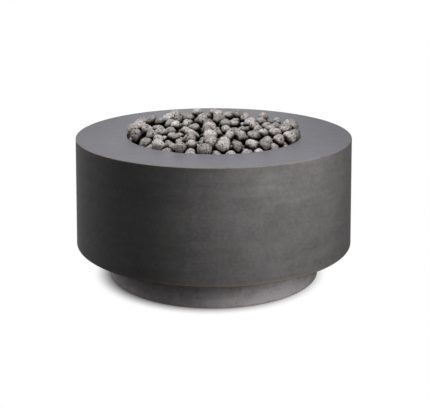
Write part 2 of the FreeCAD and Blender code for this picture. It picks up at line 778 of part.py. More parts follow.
def build_gas_train():
    pipe = cylinder("NipplePipe", "nipple_radius", "Levels.nipple_top - Levels.nipple_end", z="nipple_end")
    pipe_bore = cylinder("NippleBore", "Sizes.nipple_bore / 2", "Levels.nipple_top - Levels.nipple_end",
                         z="nipple_end")
    keep(cut("Nipple", pipe, pipe_bore), "inlet_nipple")
    nuts = []
    for place in ("pan_floor", "nut_under"):
        hexagon = prism("NutHex", "nut_across", "nut_height", z=place)
        thread = cylinder("NutThread", "nipple_hole", "nut_height", z=place)
        nuts.append(cut("Nut", hexagon, thread).Shape)
    group("pan_locknuts", nuts)

    case = cylinder("MixerCase", "Sizes.mixer_diameter / 2", "mixer_length", z="mixer_under")
    upper = cylinder("MixerUpper", "nipple_hole", "mixer_socket", z="nipple_end")
    throat = cylinder("MixerThroat", "Sizes.mixer_throat / 2", "mixer_length", z="mixer_under")
    lower = cylinder("MixerLower", "Sizes.pipe_diameter / 2 + Sizes.thread_gap", "elbow_socket",
                     z="mixer_under")
    air_z = "Levels.elbow_top + (Levels.nipple_end - Levels.elbow_top) / 2"
    along_x = cylinder("AirX", "Sizes.mixer_hole / 2", "mixer_diameter", TO_SIDE,
                       x="-Sizes.mixer_diameter / 2", z=air_z)
    along_y = cylinder("AirY", "Sizes.mixer_hole / 2", "mixer_diameter", TO_BACK,
                       y="-Sizes.mixer_diameter / 2", z=air_z)
    keep(cut("Mixer", case, upper, throat, lower, along_x, along_y), "air_mixer")

    bend = size("elbow_radius")
    corner = [Vector(0, 0, level("elbow_top")), Vector(0, 0, level("elbow_bend")),
              Vector(0, bend, level("elbow_z")), Vector(0, level("hose_start"), level("elbow_z"))]
    diagonal = bend * math.sin(math.pi / 4)
    middle = Vector(0, bend - diagonal, level("elbow_bend") - diagonal)
    path = Part.Wire([Part.LineSegment(corner[0], corner[1]).toShape(),
                      Part.Arc(corner[1], middle, corner[2]).toShape(),
                      Part.LineSegment(corner[2], corner[3]).toShape()])
    down = Vector(0, 0, -1)
    solids = [path.makePipeShell([Part.Wire([Part.Circle(corner[0], down, r).toShape()])], True, True)
              for r in (size("pipe_diameter") / 2, size("pipe_bore") / 2)]
    elbow = doc.addObject("Part::Feature", "Elbow")
    elbow.Shape = solids[0].cut(solids[1])
    elbow.Placement = Placement()
    keep(elbow, "inlet_elbow")

    valve_x = -level("control_x")
    start = Vector(0, level("hose_start"), level("elbow_z"))
    end = Vector(valve_x, level("hose_end"), level("outlet_z"))
    run = (end.y - start.y) / 3
    tube_along("gas_hose", [start, start + Vector(0, run, 0), end - Vector(0, run, 0), end],
               size("pipe_diameter") / 2, size("pipe_bore") / 2)
    hexagon = prism("HoseHex", "hose_nut_across", "hose_nut_length", TO_BACK)
    thread = cylinder("HoseThread", "Sizes.pipe_diameter / 2 + Sizes.thread_gap", "hose_nut_length", TO_BACK)
    nut = cut("HoseNut", hexagon, thread)
    back = Vector(0, size("hose_nut_length") / 2, 0)
    group("hose_nuts", [placed(nut.Shape, Placement(spot - back, Rotation())) for spot in (start, end)])


# Control panel at the back


def build_panel():
    body = new_body("Panel")
    half_width = "(Levels.panel_width / 2)"
    low = "(Sizes.niche_level - Levels.panel_height / 2)"
    high = "(Sizes.niche_level + Levels.panel_height / 2)"
    plate = outline(new_sketch(body, "PanelPlate", "XZ_Plane", "-Levels.seat"), [
        ("-" + half_width, low), (half_width, low), (half_width, high), ("-" + half_width, high)])
    pad(body, plate, "panel_gauge")
    hole = "Sizes.panel_bolt_diameter / 2 + Sizes.bolt_hole_play"
    drills = [(sx + "Levels.panel_bolt_x", f"Sizes.niche_level {sz} Levels.panel_bolt_z", hole)
              for sx in ("", "-") for sz in ("+", "-")]
    drills.append(("-Levels.control_x", "niche_level", "Sizes.stem_hole / 2"))
    drills.append(("control_x", "niche_level", "Sizes.igniter_neck / 2 + Sizes.bolt_hole_play"))
    screw = "Sizes.valve_screw_diameter / 2 + Sizes.thread_gap"
    for sx in ("+", "-"):
        drills.append((f"-Levels.control_x {sx} Sizes.valve_screw_spacing / 2", "niche_level", screw))
    holes = circles(new_sketch(body, "PanelDrills", "XZ_Plane", "-Levels.seat"), drills)
    pocket(body, holes, "panel_gauge", back=True)
    keep(body, "control_panel")

    head = prism("PanelHead", "Sizes.panel_bolt_diameter * 5 / 3", "Sizes.panel_bolt_diameter * 2 / 3",
                 TO_FRONT)
    shank = cylinder("PanelShank", "Sizes.panel_bolt_diameter / 2", "panel_bolt_length", TO_BACK)
    bolt = fuse("PanelBolt", head, shank)
    sleeve = cylinder("PanelSleeve", "Sizes.panel_insert_diameter / 2", "panel_insert_length", TO_BACK)
    thread = cylinder("PanelThread", "Sizes.panel_bolt_diameter / 2 + Sizes.thread_gap",
                      "panel_insert_length", TO_BACK)
    insert = cut("PanelInsert", sleeve, thread)
    spots = [(sx * level("panel_bolt_x"), size("niche_level") + sz * level("panel_bolt_z"))
             for sx in (-1, 1) for sz in (-1, 1)]
    pieces = (("panel_bolts", bolt, level("panel_back")), ("panel_inserts", insert, level("seat")))
    for label, thing, y in pieces:
        group(label, [placed(thing.Shape, Placement(Vector(x, y, z), Rotation())) for x, z in spots])


# Valve with its plug and stem, and the knob


def build_valve():
    x = "-Levels.control_x"
    z = "niche_level"
    barrel = cylinder("ValveBarrel", "Sizes.valve_diameter / 2", "valve_length", TO_FRONT,
                      x=x, y="panel_back", z=z)
    flange = box("ValveFlange", "valve_flange_width", "valve_flange_gauge", "valve_flange_height",
                 x="-Levels.control_x - Sizes.valve_flange_width / 2",
                 y="Levels.panel_back - Sizes.valve_flange_gauge",
                 z="Sizes.niche_level - Sizes.valve_flange_height / 2")
    neck = cylinder("ValveNeck", "Sizes.valve_neck_diameter / 2", "Sizes.valve_length / 2", TO_FRONT,
                    x=x, y="Levels.valve_back + Sizes.valve_length / 2", z="outlet_z")
    outlet = cylinder("ValveOutlet", "Sizes.pipe_diameter / 2", "valve_outlet_length", TO_FRONT,
                      x=x, y="valve_back", z="outlet_z")
    magnet = cylinder("ValveMagnet", "Sizes.valve_magnet_diameter / 2", "valve_magnet_length", TO_FRONT,
                      x=x, y="valve_back", z=z)
    inlet = cylinder("ValveInlet", "Sizes.inlet_diameter / 2", "inlet_drop",
                     x=x, y="inlet_y", z="inlet_face")
    whole = fuse("ValveWhole", barrel, flange, neck, outlet, magnet, inlet)
    gap = "Sizes.running_gap"
    chamber = cone("PlugChamber", f"Sizes.plug_diameter / 2 + {gap}", f"Sizes.plug_small_end / 2 + {gap}",
                   "plug_length", TO_FRONT, x=x, y="plug_front", z=z)
    mouth = cylinder("PlugMouth", f"Sizes.plug_diameter / 2 + {gap}", "plug_setback", TO_FRONT,
                     x=x, y="panel_back", z=z)
    thread = cylinder("InletThread", "Sizes.inlet_thread / 2", "inlet_thread_depth",
                      x=x, y="inlet_y", z="inlet_face")
    feed = cylinder("InletFeed", "Sizes.pipe_bore / 2", "inlet_drop", x=x, y="inlet_y", z="inlet_face")
    leave = cylinder("OutletFeed", "Sizes.pipe_bore / 2",
                     "Sizes.valve_outlet_length + Sizes.valve_length / 4", TO_FRONT,
                     x=x, y="Levels.valve_back + Sizes.valve_length / 4", z="outlet_z")
    screw_holes = [cylinder("ValveHole", "Sizes.valve_screw_diameter / 2 + Sizes.thread_gap",
                            "valve_flange_gauge", TO_FRONT,
                            x=f"-Levels.control_x {side} Sizes.valve_screw_spacing / 2", y="panel_back", z=z)
                   for side in ("+", "-")]
    keep(cut("Valve", whole, chamber, mouth, thread, feed, leave, *screw_holes), "valve_body")

    head = cylinder("ScrewHead", "Sizes.valve_screw_head / 2", "Sizes.valve_screw_diameter / 2", TO_BACK)
    shank = cylinder("ScrewShank", "Sizes.valve_screw_diameter / 2",
                     "Sizes.panel_gauge + Sizes.valve_flange_gauge", TO_FRONT)
    screw = fuse("ValveScrew", head, shank)
    group("valve_screws", [
        placed(screw.Shape, Placement(Vector(-level("control_x") + side * size("valve_screw_spacing") / 2,
                                             level("seat"), size("niche_level")), Rotation()))
        for side in (-1, 1)])

    taper = cone("PlugTaper", "Sizes.plug_diameter / 2", "Sizes.plug_small_end / 2",
                 "Sizes.plug_length - 2 * Sizes.running_gap", TO_FRONT, x=x, y="plug_front", z=z)
    key_way = d_shaft("PlugKey", "Sizes.stem_diameter / 2 + Sizes.running_gap",
                      "Sizes.stem_flat + Sizes.running_gap", "Sizes.stem_entry + 2 * Sizes.push_travel",
                      "plug_front")
    port = cylinder("PlugPort", "Sizes.plug_port / 2", "plug_diameter", x=x, y="inlet_y",
                    z="Sizes.niche_level - Sizes.plug_diameter / 2")
    keep(cut("Plug", taper, key_way, port), "valve_plug")
    stem_end = "Levels.plug_front - Sizes.stem_entry"
    stem_front = f"(Levels.knob_back + Sizes.knob_socket) - ({stem_end})"
    keep(d_shaft("Stem", "Sizes.stem_diameter / 2", "stem_flat", stem_front,
                 "Levels.knob_back + Sizes.knob_socket"), "valve_stem")


def d_shaft(name, radius, across_flat, length, front):
    """Round bar with one flat, on the knob's axis, running inward from its front end."""
    bar = cylinder(name + "Bar", radius, length, TO_FRONT, x="-Levels.control_x", y=front, z="niche_level")
    flat = box(name + "Flat", "stem_diameter", length, "stem_diameter",
               x="-Levels.control_x - Sizes.stem_diameter / 2", y=f"{cell(front)} - ({cell(length)})",
               z=f"Sizes.niche_level - Sizes.stem_diameter / 2 + {cell(across_flat)}")
    return cut(name, bar, flat)


def build_knob():
    body = new_body("Knob")
    radius = "Sizes.knob_diameter / 2"
    profile = outline(new_sketch(body, "KnobProfile", "XZ_Plane"), [
        ("0", "0"), (radius, "0"), (radius, "Sizes.knob_depth / 4"),
        (f"{radius} - Sizes.knob_edge", "Sizes.knob_depth / 4 + Sizes.knob_edge"),
        (f"{radius} - 2 * Sizes.knob_edge", "knob_depth"), ("0", "knob_depth")])
    turned = revolve(body, profile)
    round_corners(body, turned, profile, [1, 4], "Sizes.knob_edge / 2")
    flute = circles(new_sketch(body, "Flute", "XY_Plane", "knob_depth"), [
        (f"{radius} + Sizes.knob_flute_diameter / 4", "0", "Sizes.knob_flute_diameter / 2")])
    flute_depth = "Sizes.knob_depth * 3 / 4 - 1.5 * Sizes.knob_edge"
    polar(body, [pocket(body, flute, flute_depth)], "knob_flutes")
    turn = Placement(Vector(-level("control_x"), level("knob_back"), size("niche_level")), TO_BACK)
    seated = doc.addObject("Part::Feature", "KnobSeated")
    seated.Shape = placed(body.Shape, turn)
    socket = d_shaft("KnobSocket", "Sizes.stem_diameter / 2 + Sizes.thread_gap / 2",
                     "Sizes.stem_flat + Sizes.thread_gap / 2", "Sizes.knob_socket + Sizes.thread_gap",
                     "Levels.knob_back + Sizes.knob_socket + Sizes.thread_gap")
    pointer = box("Pointer", "Sizes.knob_edge", "Sizes.knob_edge", "Sizes.knob_diameter / 3",
                  x="-Levels.control_x - Sizes.knob_edge / 2",
                  y="Levels.knob_back + Sizes.knob_depth - Sizes.knob_edge / 2",
                  z="Sizes.niche_level + Sizes.knob_edge")
    keep(cut("KnobWhole", seated, socket, pointer), "control_knob")


# Igniter


def build_igniter():
    x = "control_x"
    z = "niche_level"
    barrel = cylinder("IgniterCase", "Sizes.igniter_diameter / 2", "igniter_length", TO_FRONT,
                      x=x, y="panel_back", z=z)
    neck = cylinder("IgniterNeck", "Sizes.igniter_neck / 2", "Sizes.igniter_neck_length + Sizes.panel_gauge",
                    TO_BACK, x=x, y="panel_back", z=z)
    hole_depth = "Sizes.igniter_neck_length + Sizes.panel_gauge + Sizes.igniter_wall * 2"
    button_hole = cylinder("ButtonHole", "Sizes.button_diameter / 2 + Sizes.running_gap", hole_depth,
                           TO_FRONT, x=x, y="Levels.seat + Sizes.igniter_neck_length", z=z)
    chamber = cylinder("BatteryRoom", "Sizes.igniter_diameter / 2 - Sizes.igniter_wall",
                       "Sizes.igniter_length - 2 * Sizes.igniter_wall", TO_FRONT,
                       x=x, y="Levels.panel_back - Sizes.igniter_wall", z=z)
    keep(cut("Igniter", fuse("IgniterWhole", barrel, neck), button_hole, chamber), "igniter_barrel")

    ring = cylinder("BezelRing", "Sizes.bezel_diameter / 2", "bezel_height", TO_BACK, x=x, y="seat", z=z)
    ring_hole = cylinder("BezelHole", "Sizes.igniter_neck / 2 + Sizes.thread_gap", "bezel_height", TO_BACK,
                         x=x, y="seat", z=z)
    keep(cut("Bezel", ring, ring_hole), "igniter_nut")

    cap = cylinder("ButtonCap", "Sizes.button_diameter / 2",
                   "Sizes.button_depth + Sizes.igniter_neck_length + Sizes.button_proud", TO_BACK,
                   x=x, y="Levels.seat - Sizes.button_depth", z=z)
    doc.recompute()
    front = [f"Edge{n}" for n, e in enumerate(cap.Shape.Edges, start=1)
             if e.Closed and e.CenterOfMass.y > level("seat")]
    eased = doc.addObject("Part::Fillet", "ButtonEased")
    eased.Base = cap
    edge = size("button_proud") / 4
    eased.Edges = [(int(name[4:]), edge, edge) for name in front]
    doc.recompute()
    keep(eased, "igniter_button")

    cell_back = "Levels.igniter_back + Sizes.igniter_wall"
    can = cylinder("Battery", "Sizes.battery_diameter / 2", "battery_length", TO_BACK, x=x, y=cell_back,
                   z=f"Sizes.niche_level - (Sizes.igniter_diameter - Sizes.battery_diameter) / 2"
                     f" + Sizes.igniter_wall + Sizes.stone_gap / 2")
    keep(can, "igniter_battery")


# Spark electrode, probe and their leads


def build_sensors():
    (spark_x, sensor_y), (probe_x, _) = sensor_spots()
    floor = level("pan_floor")
    under = level("sensor_under")
    up = Vector(0, 0, 1)

    def post(x, radius, top):
        stick = Part.makeCylinder(radius, top - under, Vector(x, sensor_y, under), up)
        collar = Part.makeCylinder(size("sensor_collar") / 2, size("sensor_collar_height"),
                                   Vector(x, sensor_y, floor), up)
        return stick.fuse(collar).removeSplitter()

    ceramic_top = floor + size("electrode_rise")
    wire = Part.makeCylinder(size("electrode_wire") / 2, size("electrode_tip"),
                             Vector(spark_x, sensor_y, ceramic_top), up)
    shapes = {
        "electrode_insulator": post(spark_x, size("electrode_diameter") / 2, ceramic_top),
        "electrode_wire": wire,
        "thermocouple_probe": post(probe_x, size("probe_diameter") / 2, floor + size("probe_rise")),
    }
    for label, shape in shapes.items():
        feature = doc.addObject("Part::Feature", label)
        feature.Shape = shape
        feature.Placement = Placement()
        keep(feature, label)
    nuts = []
    for x, radius in ((spark_x, size("electrode_diameter") / 2), (probe_x, size("probe_diameter") / 2)):
        hexagon = prism("SensorHex", "sensor_nut_across", "sensor_nut_height")
        doc.recompute()
        bore = Part.makeCylinder(radius + size("thread_gap"), size("sensor_nut_height"))
        spot = Vector(x, sensor_y, level("pan_under") - size("sensor_nut_height"))
        nuts.append(placed(hexagon.Shape.cut(bore), Placement(spot, Rotation())))
    group("sensor_nuts", nuts)

    drop = Vector(0, 0, -size("lead_sag"))
    leads = (("igniter_lead", level("control_x"), level("igniter_back"), spark_x, "lead_diameter"),
             ("thermocouple_lead", -level("control_x"), level("magnet_back"), probe_x, "capillary_diameter"))
    for label, x, y, sensor_x, diameter in leads:
        start = Vector(x, y, size("niche_level"))
        end = Vector(sensor_x, sensor_y, under)
        away = Vector(0, -(y - sensor_y) / 2, 0)
        tube_along(label, [start, start + away, end + drop, end], size(diameter) / 2)


# Heap of lava stones

STONE_WIDTH = (0.70, 0.97)  # least and most, as shares of the length
STONE_HEIGHT = (0.66, 0.92)
STONE_TILT = 50  # degrees, spread about lying flat
STONE_SEED = 18


def squared(axes, half):
    """The matrix of an ellipsoid: sum of half-size squared times axis times axis."""
    return [sum(h * h * a[i] * a[j] for h, a in zip(half, axes))
            for i, j in ((0, 0), (0, 1), (0, 2), (1, 1), (1, 2), (2, 2))]


def random_stone(rng):
    """Half-sizes and axes of one stone, tipped at random."""
    longest = rng.triangular(size("stone_shortest"), size("stone_longest")) / 2
    half = (longest, longest * rng.uniform(*STONE_WIDTH), longest * rng.uniform(*STONE_HEIGHT))
    turn = Rotation(rng.uniform(0, 360), rng.gauss(0, STONE_TILT), rng.gauss(0, STONE_TILT))
    axes = [turn.multVec(v) for v in (Vector(1, 0, 0), Vector(0, 1, 0), Vector(0, 0, 1))]
    grown = [h + size("stone_gap") / 2 for h in half]
    return {"half": half, "turn": turn, "matrix": squared(axes, grown), "reach": max(grown)}


def ball(x, y, z, radius):
    """A fixed ball that the stones have to clear."""
    r = radius + size("stone_gap")
    return {"x": x, "y": y, "z": z, "matrix": [r * r, 0, 0, r * r, 0, r * r], "reach": r}


def rest_height(stone, dx, dy, other):
    """Height over the other stone's centre at which this one just lies on it, or None if it passes.

    For any share s, the ellipsoid A/s + B/(1-s) holds the sum of the two shapes, so a centre
    outside it is clear of the other stone. The lowest of a few shares is very nearly the contact.
    """
    a_xx, a_xy, a_xz, a_yy, a_yz, a_zz = stone["matrix"]
    b_xx, b_xy, b_xz, b_yy, b_yz, b_zz = other["matrix"]
    middle = stone["reach"] / (stone["reach"] + other["reach"])
    lowest = None
    for share in (middle, middle - 0.1, middle + 0.1):
        u = 1 / share
        v = 1 / (1 - share)
        xx = u * a_xx + v * b_xx
        xy = u * a_xy + v * b_xy
        xz = u * a_xz + v * b_xz
        yy = u * a_yy + v * b_yy
        yz = u * a_yz + v * b_yz
        zz = u * a_zz + v * b_zz
        # terms of the inverse, without its common factor
        i_xx = yy * zz - yz * yz
        i_xy = xz * yz - xy * zz
        i_xz = xy * yz - xz * yy
        i_yy = xx * zz - xz * xz
        i_yz = xy * xz - xx * yz
        i_zz = xx * yy - xy * xy
        factor = xx * i_xx + xy * i_xy + xz * i_xz
        half_slope = i_xz * dx + i_yz * dy
        rest = i_xx * dx * dx + 2 * i_xy * dx * dy + i_yy * dy * dy - factor
        inside = half_slope * half_slope - i_zz * rest
        if inside <= 0:
            return None
        height = (math.sqrt(inside) - half_slope) / i_zz
        if lowest is None or height < lowest:
            lowest = height
    return lowest


def burner_balls():
    """The burner and the sensors as rows of balls."""
    tube = size("burner_tube") / 2
    z = level("burner_z")
    floor = level("pan_floor")
    step = tube / 2
    balls = []
    for diameter in ("burner_outer", "burner_inner"):
        radius = size(diameter) / 2
        count = int(math.tau * radius / step)
        for i in range(count):
            angle = math.tau * i / count
            balls.append(ball(radius * math.cos(angle), radius * math.sin(angle), z, tube))
    reach = size("burner_outer") / 2
    count = int(2 * reach / step)
    balls += [ball(-reach + 2 * reach * i / count, 0, z, tube) for i in range(count + 1)]
    balls.append(ball(0, 0, z, math.hypot(size("burner_hub") / 2, z - level("hub_under"))))
    nut_corner = size("nut_across") / 2 / math.cos(math.pi / 6)
    balls.append(ball(0, 0, floor, math.hypot(nut_corner, size("nut_height"))))
    collar = size("sensor_collar") / 2
    for x, y in sensor_spots():
        balls += [ball(x, y, floor + i, collar) for i in range(int(size("probe_rise")) + 1)]
    return balls


class Heap:
    """Stones dropped one by one: a filled bed, then loose ones that lie on it."""

    def __init__(self, fixed):
        self.pitch = size("stone_longest") + size("burner_tube")
        self.gap = size("stone_gap")
        self.opening = level("opening_radius") - self.gap
        self.pan = level("pan_inside") - self.gap
        self.floor = level("pan_floor")
        self.rim = level("pan_rim")
        self.top = size("total_height")
        self.middle = size("heap_middle")
        self.edge = size("heap_edge")
        self.loose = size("heap_loose")
        self.spread = size("stone_spread")
        self.near = {}
        self.stones = []
        for thing in fixed:
            self.add(thing)

    def add(self, thing):
        """List the thing in its own cell of the plan and in the eight round it."""
        i = int(thing["x"] // self.pitch)
        j = int(thing["y"] // self.pitch)
        for di in (-1, 0, 1):
            for dj in (-1, 0, 1):
                self.near.setdefault((i + di, j + dj), []).append(thing)

    def drop(self, stone, x, y):
        """Height at which the stone comes to rest at this spot, or None where nothing carries it."""
        a = stone["matrix"]
        radius = math.hypot(x, y) or 1e-6
        ux = x / radius
        uy = y / radius
        side = radius + math.sqrt(a[0] * ux * ux + 2 * a[1] * ux * uy + a[3] * uy * uy)
        if side > self.opening:
            return None
        carried = side < self.pan
        z = (self.floor if carried else self.rim) + math.sqrt(a[5]) + self.gap / 2
        reach = stone["reach"]
        for other in self.near.get((int(x // self.pitch), int(y // self.pitch)), ()):
            both = reach + other["reach"]
            if other["z"] + both < z:
                continue
            dx = x - other["x"]
            dy = y - other["y"]
            if dx * dx + dy * dy > both * both:
                continue
            height = rest_height(stone, dx, dy, other)
            if height is not None and other["z"] + height > z:
                z = other["z"] + height
                carried = True
        return z if carried else None

    def settle(self, stone, rng, tries):
        """Best of some random spots, then rolled downhill in smaller and smaller steps."""
        best = None
        for _ in range(tries):
            radius = self.opening * math.sqrt(rng.random())
            angle = rng.uniform(0, math.tau)
            x = radius * math.cos(angle)
            y = radius * math.sin(angle)
            z = self.drop(stone, x, y)
            if z is not None and (best is None or z < best[2]):
                best = (x, y, z)
        if best is None:
            return None
        for step in (8, 4, 2, 1):
            for _ in range(8):
                moved = best
                for k in range(6):
                    x = best[0] + step * math.cos(k * math.pi / 3)
                    y = best[1] + step * math.sin(k * math.pi / 3)
                    z = self.drop(stone, x, y)
                    if z is not None and z < moved[2] - 0.05:
                        moved = (x, y, z)
                if moved is best:
                    break
                best = moved
        return best

    def allowed_top(self, x, y):
        share = (x * x + y * y) / self.opening ** 2
        return self.top + self.middle + (self.edge - self.middle) * share

    def lay(self, stone, spot, below):
        """Keep the stone at its spot if its top is so far below the heap's outline."""
        if spot is None:
            return False
        x, y, z = spot
        if z + math.sqrt(stone["matrix"][5]) > self.allowed_top(x, y) - below:
            return False
        stone["x"], stone["y"], stone["z"] = spot
        self.stones.append(stone)
        self.add(stone)
        return True

    def fill(self, rng, tries, patience):
        """Fill the bed until so many stones in a row find no place in it."""
        misses = 0
        while misses < patience:
            stone = random_stone(rng)
            spot = self.settle(stone, rng, tries)
            misses = 0 if self.lay(stone, spot, below=self.loose) else misses + 1

    def scatter(self, rng, throws):
        """Throw loose stones on the bed; those that land too near another are taken away."""
        kept = []
        for _ in range(throws):
            stone = random_stone(rng)
            spot = self.settle(stone, rng, tries=1)
            if spot is None or any(math.dist(spot[:2], other[:2]) < self.spread for other in kept):
                continue
            if self.lay(stone, spot, below=0):
                kept.append(spot)


def stone_solid(stone):
    scale = Matrix()
    scale.scale(*stone["half"])
    place = Placement(Vector(stone["x"], stone["y"], stone["z"]), stone["turn"])
    return Part.makeSphere(1).transformGeometry(place.toMatrix() * scale)


def build_stones():
    heap = Heap(burner_balls())
    rng = random.Random(STONE_SEED)
    heap.fill(rng, tries=16, patience=40)
    heap.scatter(rng, throws=1500)
    bed = []
    top = []
    for stone in heap.stones:
        crown = stone["z"] + math.sqrt(stone["matrix"][5])
        buried = crown < size("total_height") - size("stone_shortest") / 2
        (bed if buried else top).append(stone_solid(stone))
    group("lava_stones_bed", bed)
    group("lava_stones_top", top)


build_shell()
build_plinth()
build_carriers()
build_pan()
build_burner()
build_gas_train()
build_panel()
build_valve()
build_knob()
build_igniter()
build_sensors()
build_stones()
doc.recompute()

for thing in doc.Objects:
    if "Invalid" in thing.State or "Error" in thing.State:
        raise RuntimeError(f"{thing.Name} did not compute: {thing.State}")
for label, thing in nodes.items():
    if thing.Shape.isNull() or not thing.Shape.isValid() or not thing.Shape.Solids:
        raise RuntimeError(f"{label} has no valid solid")

os.makedirs("parts", exist_ok=True)
for label, thing in nodes.items():
    thing.Shape.exportStep(f"parts/{label}.step")
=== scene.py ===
import json
import math
import random

import bpy
import numpy as np
from mathutils import Matrix, Vector


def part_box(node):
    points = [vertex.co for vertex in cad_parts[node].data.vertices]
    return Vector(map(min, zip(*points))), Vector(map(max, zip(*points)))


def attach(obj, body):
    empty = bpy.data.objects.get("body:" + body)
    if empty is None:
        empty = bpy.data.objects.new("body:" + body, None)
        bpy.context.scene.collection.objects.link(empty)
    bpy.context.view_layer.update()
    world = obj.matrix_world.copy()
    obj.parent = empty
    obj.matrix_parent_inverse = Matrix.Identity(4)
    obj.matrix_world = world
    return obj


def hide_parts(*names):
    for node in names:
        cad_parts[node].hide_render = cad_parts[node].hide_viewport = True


# Looks of the concrete fire bowl: cast concrete, tumbled lava stones, gas fittings, studio light.

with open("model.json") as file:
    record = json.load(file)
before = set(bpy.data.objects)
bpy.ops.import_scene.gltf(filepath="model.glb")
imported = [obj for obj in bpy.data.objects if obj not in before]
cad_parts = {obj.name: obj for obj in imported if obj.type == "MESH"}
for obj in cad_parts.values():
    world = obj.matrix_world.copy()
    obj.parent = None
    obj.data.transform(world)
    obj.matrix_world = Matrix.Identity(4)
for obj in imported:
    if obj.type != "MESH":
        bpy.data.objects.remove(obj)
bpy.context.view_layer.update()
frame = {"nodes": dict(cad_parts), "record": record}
nodes = frame["nodes"]
scene = bpy.context.scene
scene.view_settings.view_transform = "Standard"

drum_low, drum_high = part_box("drum_shell")
plinth_low, plinth_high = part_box("plinth_ring")
knob_low, knob_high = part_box("control_knob")
foot_radius = drum_high.x
top_radius = 0.481
opening_radius = 0.305
plinth_radius = plinth_high.x


# Node helpers


def put(tree, kind, **settings):
    """A new node with its settings."""
    node = tree.nodes.new(kind)
    for name, value in settings.items():
        setattr(node, name, value)
    return node


def plug(tree, socket, source):
    """Feed a socket from another socket, or give it a plain value."""
    if isinstance(source, bpy.types.NodeSocket):
        tree.links.new(source, socket)
    else:
        socket.default_value = source


def calc(tree, operation, *sources, clamp=False):
    """Result of one sum on sockets or plain numbers."""
    node = put(tree, "ShaderNodeMath", operation=operation, use_clamp=clamp)
    for socket, source in zip(node.inputs, sources):
        plug(tree, socket, source)
    return node.outputs[0]


def ramp(tree, value, low, high):
    """0 at low, 1 at high, smooth between."""
    node = put(tree, "ShaderNodeMapRange", interpolation_type="SMOOTHSTEP")
    for label, source in (("Value", value), ("From Min", low), ("From Max", high)):
        plug(tree, node.inputs[label], source)
    return node.outputs["Result"]


def span(tree, value, low, high):
    """Spread a value of 0 to 1 evenly from low to high."""
    node = put(tree, "ShaderNodeMapRange")
    for label, source in (("Value", value), ("To Min", low), ("To Max", high)):
        plug(tree, node.inputs[label], source)
    return node.outputs["Result"]


def blend(tree, share, first, second):
    """Mix of two colours; the node's colour sockets are its numbers 6 and 7, and 2 on the way out."""
    node = put(tree, "ShaderNodeMix", data_type="RGBA")
    for number, source in ((0, share), (6, first), (7, second)):
        plug(tree, node.inputs[number], source)
    return node.outputs[2]


def object_place(tree):
    """Place of a point in the shared frame, since every piece has its origin there."""
    return put(tree, "ShaderNodeTexCoord").outputs["Object"]


def stretched(tree, vector, amounts):
    """A place with each axis multiplied by its own amount."""
    node = put(tree, "ShaderNodeVectorMath", operation="MULTIPLY")
    plug(tree, node.inputs[0], vector)
    plug(tree, node.inputs[1], amounts)
    return node.outputs[0]


def axes_of(tree, vector):
    """The x, y and z of a place or a direction."""
    node = put(tree, "ShaderNodeSeparateXYZ")
    plug(tree, node.inputs[0], vector)
    return node.outputs


def channels_of(tree, tint):
    """The red, green and blue of a colour."""
    node = put(tree, "ShaderNodeSeparateColor")
    plug(tree, node.inputs[0], tint)
    return node.outputs


def distance(tree, first, second):
    """Straight distance that two sides at right angles span."""
    squares = [calc(tree, "MULTIPLY", side, side) for side in (first, second)]
    return calc(tree, "SQRT", calc(tree, "ADD", *squares))


def noise(tree, vector, scale, detail, rough):
    """Soft random value about 0.5; a larger scale gives smaller spots."""
    node = put(tree, "ShaderNodeTexNoise")
    for label, source in (("Vector", vector), ("Scale", scale), ("Detail", detail), ("Roughness", rough)):
        plug(tree, node.inputs[label], source)
    return node.outputs[0]


def bumped(tree, height, strength, depth):
    """Normal of a face with fine relief; depth is in metres."""
    node = put(tree, "ShaderNodeBump")
    for label, source in (("Height", height), ("Strength", strength), ("Distance", depth)):
        plug(tree, node.inputs[label], source)
    return node.outputs["Normal"]


def colour(red, green, blue):
    """An opaque colour, in linear values."""
    return (red, green, blue, 1.0)


def new_group(name, inputs, outputs):
    """An empty node group with number sockets, and its two ends."""
    tree = bpy.data.node_groups.new(name, "ShaderNodeTree")
    for label, value in inputs.items():
        tree.interface.new_socket(label, in_out="INPUT", socket_type="NodeSocketFloat").default_value = value
    for label in outputs:
        tree.interface.new_socket(label, in_out="OUTPUT", socket_type="NodeSocketFloat")
    return tree, put(tree, "NodeGroupInput").outputs, put(tree, "NodeGroupOutput").inputs


def use(tree, group, **values):
    """Place a group in a material with its own values."""
    node = put(tree, "ShaderNodeGroup", node_tree=group)
    for label, value in values.items():
        plug(tree, node.inputs[label], value)
    return node.outputs


def new_finish(name):
    """A new material, its node tree and the sockets of its shader."""
    material = bpy.data.materials.new(name)
    material.use_nodes = True
    return material, material.node_tree, material.node_tree.nodes["Principled BSDF"].inputs


# Effects that several finishes share


def make_cast_mottle():
    """Cloudy tone of cast concrete, level streaks of the form, and sand grain."""
    tree, given, out = new_group("cast mottle", {"Clouds": 5.0, "Streaks": 0.25}, ["Tone", "Grain"])
    place = object_place(tree)
    clouds = noise(tree, place, given["Clouds"], detail=5.0, rough=0.62)
    patches = noise(tree, place, calc(tree, "MULTIPLY", given["Clouds"], 5.0), detail=4.0, rough=0.6)
    flecks = noise(tree, place, calc(tree, "MULTIPLY", given["Clouds"], 20.0), detail=3.0, rough=0.6)
    level_lines = noise(tree, stretched(tree, place, (2.6, 2.6, 30.0)), 1.0, detail=5.0, rough=0.6)
    cloudy = 0.0
    for layer, share in ((clouds, 0.45), (patches, 0.25), (flecks, 0.30)):
        cloudy = calc(tree, "ADD", cloudy, calc(tree, "MULTIPLY", layer, share))
    mixed = put(tree, "ShaderNodeMix", data_type="FLOAT")
    for number, source in ((0, given["Streaks"]), (2, cloudy), (3, level_lines)):
        plug(tree, mixed.inputs[number], source)  # its number sockets are 2 and 3
    plug(tree, out["Tone"], ramp(tree, mixed.outputs[0], 0.36, 0.64))
    plug(tree, out["Grain"], noise(tree, place, 620.0, detail=2.0, rough=0.7))
    return tree


